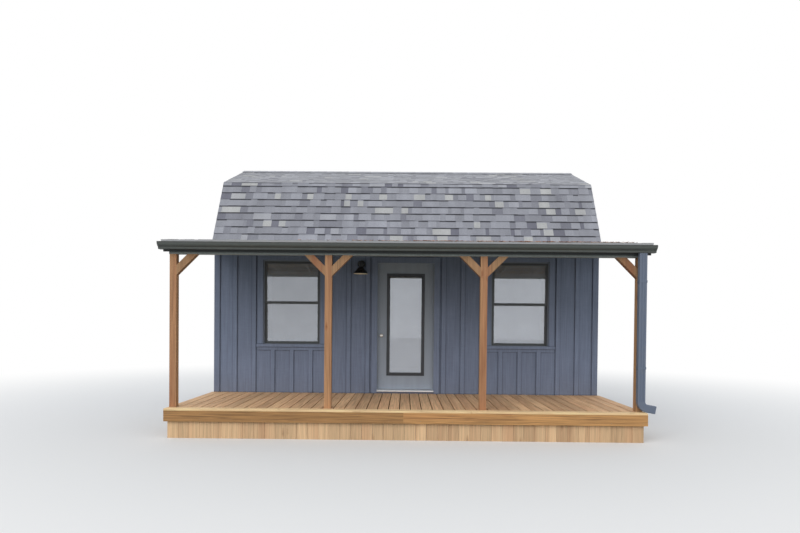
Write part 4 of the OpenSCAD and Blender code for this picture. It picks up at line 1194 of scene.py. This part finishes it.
class CABIN_OT_litter(bpy.types.Operator):
    """Scatters dry leaves on the porch roof"""
    bl_idname = "cabin.litter"
    bl_label = "Scatter dry leaves"
    bl_options = {"REGISTER", "UNDO"}

    def execute(self, context):
        rng = random.Random(51)
        bpy.ops.object.select_all(action="DESELECT")
        bpy.ops.mesh.primitive_grid_add(
            x_subdivisions=2, y_subdivisions=1, size=1, location=(0, 0, 0))
        bpy.ops.transform.resize(value=(1, 0.4, 1))
        leaf = applied(bpy.context.object)
        with editing():
            # narrow and curled up at both ends
            pick("verts", lambda v: abs(v.co.x) > 0.4)
            bpy.ops.transform.resize(value=(1, 0.3, 1))
            bpy.ops.transform.translate(value=(0, 0, 0.2))
        thicken(leaf, 0.03, 1)
        places, tones = [], []
        front, back = PORCH_LOW.y + 0.03, -1.93
        tilt = Matrix.Rotation(math.atan(PORCH_FALL), 4, "X")
        for _ in range(context.scene.cabin_sizes.litter):
            x = rng.triangular(-1.6, 3.12, 2.3)
            y = front + min(back - front, rng.expovariate(7))
            z = porch_height(y) - 0.0012
            size = rng.uniform(0.028, 0.075)
            turn = Matrix.Rotation(rng.uniform(0, 2 * math.pi), 4, "Z")
            places.append(shift(x, y, z) @ tilt @ turn @ Matrix.Diagonal((size, size, size, 1)))
            tones.append(rng.random())
        leaves = stamp("roof_leaf_litter", leaf, places, tones)
        dress(leaves, "leaf", "shingles")
        return {"FINISHED"}


class CABIN_OT_stage(bpy.types.Operator):
    """Sets the floor, the lights and the camera"""
    bl_idname = "cabin.stage"
    bl_label = "Set the stage"
    bl_options = {"REGISTER", "UNDO"}

    def execute(self, context):
        scene = context.scene
        bpy.ops.object.select_all(action="DESELECT")
        bpy.ops.mesh.primitive_circle_add(
            vertices=96, radius=60, fill_type="NGON", location=(0, 0, -0.0005))
        floor = applied(context.object)
        floor.name = "studio_floor"
        floor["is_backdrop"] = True
        # pale matt floor that keeps the shadow and turns to the white of the backdrop further out
        floor_mat, tree, shader, where = finish("PaleFloor", Roughness=0.95)
        away = put(tree, "VectorMath", [where], operation="LENGTH")
        fade = put(
            tree, "MapRange", [away.outputs["Value"], 5.5, 13.0, 0.0, 1.0],
            interpolation_type="SMOOTHSTEP")
        rays = put(tree, "LightPath")
        seen = put(
            tree, "Math", [rays.outputs["Is Camera Ray"], rays.outputs["Is Glossy Ray"]],
            operation="MAXIMUM")
        how = put(tree, "Math", [fade, seen], operation="MULTIPLY")
        # the floor looks pale, and throws back only as much light as short grass does
        tint = put(
            tree, "Mix", {0: seen, 6: (*linear("#8a8f86"), 1), 7: (*linear("#e2e3e4"), 1)},
            data_type="RGBA")
        feed(tree, shader, {"Base Color": tint.outputs[2]})
        white = put(tree, "Emission", {"Color": (1, 1, 1, 1), "Strength": 1.0})
        mixed = put(tree, "MixShader", [how, shader, white])
        feed(tree, tree.nodes["Material Output"], {"Surface": mixed})
        floor.data.materials.append(floor_mat)
        # white behind everything, and a softer even light on the object
        world = bpy.data.worlds.new("Studio")
        world.use_nodes = True
        tree = world.node_tree
        out = tree.nodes["World Output"]
        rays = put(tree, "LightPath")
        seen = put(
            tree, "Math", [rays.outputs["Is Camera Ray"], rays.outputs["Is Glossy Ray"]],
            operation="MAXIMUM")
        clear = put(tree, "Math", [seen, rays.outputs["Is Transmission Ray"]], operation="MAXIMUM")
        lit = put(tree, "Background", {"Color": (0.96, 0.98, 1.0, 1), "Strength": 0.78})
        back = put(tree, "Background", {"Color": (1, 1, 1, 1), "Strength": 1.0})
        both = put(tree, "MixShader", [clear, lit, back])
        feed(tree, out, {"Surface": both})
        scene.world = world
        # one broad soft light from above the front left, one faint one from the right
        for name, power, spread, spot in (("key_light", 1.2, 50, (-5, -12, 12)),
                                          ("fill_light", 0.3, 70, (7, -12, 4))):
            lamp = bpy.data.lights.new(name, "SUN")
            lamp.energy, lamp.angle, lamp.color = power, math.radians(spread), (1.0, 0.99, 0.975)
            holder = bpy.data.objects.new(name, lamp)
            scene.collection.objects.link(holder)
            holder.location = spot
            aim = Vector((0, 0, 1.5)) - Vector(spot)
            holder.rotation_euler = aim.to_track_quat("-Z", "Y").to_euler()
        lens = bpy.data.cameras.new("camera")
        lens.sensor_width = 36
        lens.lens = FOCAL / PHOTO_WIDTH * lens.sensor_width
        lens.shift_y = RISE / PHOTO_WIDTH
        lens.clip_end = 200
        eye = bpy.data.objects.new("camera", lens)
        scene.collection.objects.link(eye)
        turn = (Matrix.Rotation(YAW, 4, "Z") @ Matrix.Rotation(math.pi / 2 - TILT, 4, "X")
                @ Matrix.Rotation(ROLL, 4, "Z"))
        eye.matrix_world = shift(*EYE) @ turn
        scene.camera = eye
        scene.view_settings.view_transform = "Standard"
        return {"FINISHED"}


STEPS = (
    CABIN_OT_finishes, CABIN_OT_shingles, CABIN_OT_deck, CABIN_OT_nails, CABIN_OT_windows,
    CABIN_OT_door, CABIN_OT_rain_goods, CABIN_OT_lamp, CABIN_OT_litter, CABIN_OT_stage)


class CABIN_PT_panel(bpy.types.Panel):
    """Sizes, colours and steps of the cabin"""
    bl_idname = "CABIN_PT_panel"
    bl_label = "Boathouse cabin"
    bl_space_type = "VIEW_3D"
    bl_region_type = "UI"
    bl_category = "Cabin"

    def draw(self, context):
        layout = self.layout
        for group in (context.scene.cabin_sizes, context.scene.cabin_colours):
            box = layout.box()
            for key in group.bl_rna.properties.keys():
                if key not in ("rna_type", "name"):
                    box.prop(group, key)
        for step in STEPS:
            layout.operator(step.bl_idname)


CLASSES = (CabinColours, CabinSizes, *STEPS, CABIN_PT_panel)


def register():
    for cls in CLASSES:
        bpy.utils.register_class(cls)
    bpy.types.Scene.cabin_colours = PointerProperty(type=CabinColours)
    bpy.types.Scene.cabin_sizes = PointerProperty(type=CabinSizes)


def unregister():
    del bpy.types.Scene.cabin_sizes
    del bpy.types.Scene.cabin_colours
    for cls in reversed(CLASSES):
        bpy.utils.unregister_class(cls)


def corners():
    return [list(map(float, corner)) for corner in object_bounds()]


def main():
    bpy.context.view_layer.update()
    register()
    bpy.ops.cabin.finishes()
    bpy.ops.cabin.shingles()
    bpy.ops.cabin.deck()
    bpy.ops.cabin.nails()
    bpy.ops.cabin.windows()
    bpy.ops.cabin.door()
    bpy.ops.cabin.rain_goods()
    bpy.ops.cabin.lamp()
    bpy.ops.cabin.litter()
    bpy.ops.cabin.stage()


if __name__ == "__main__":
    main()
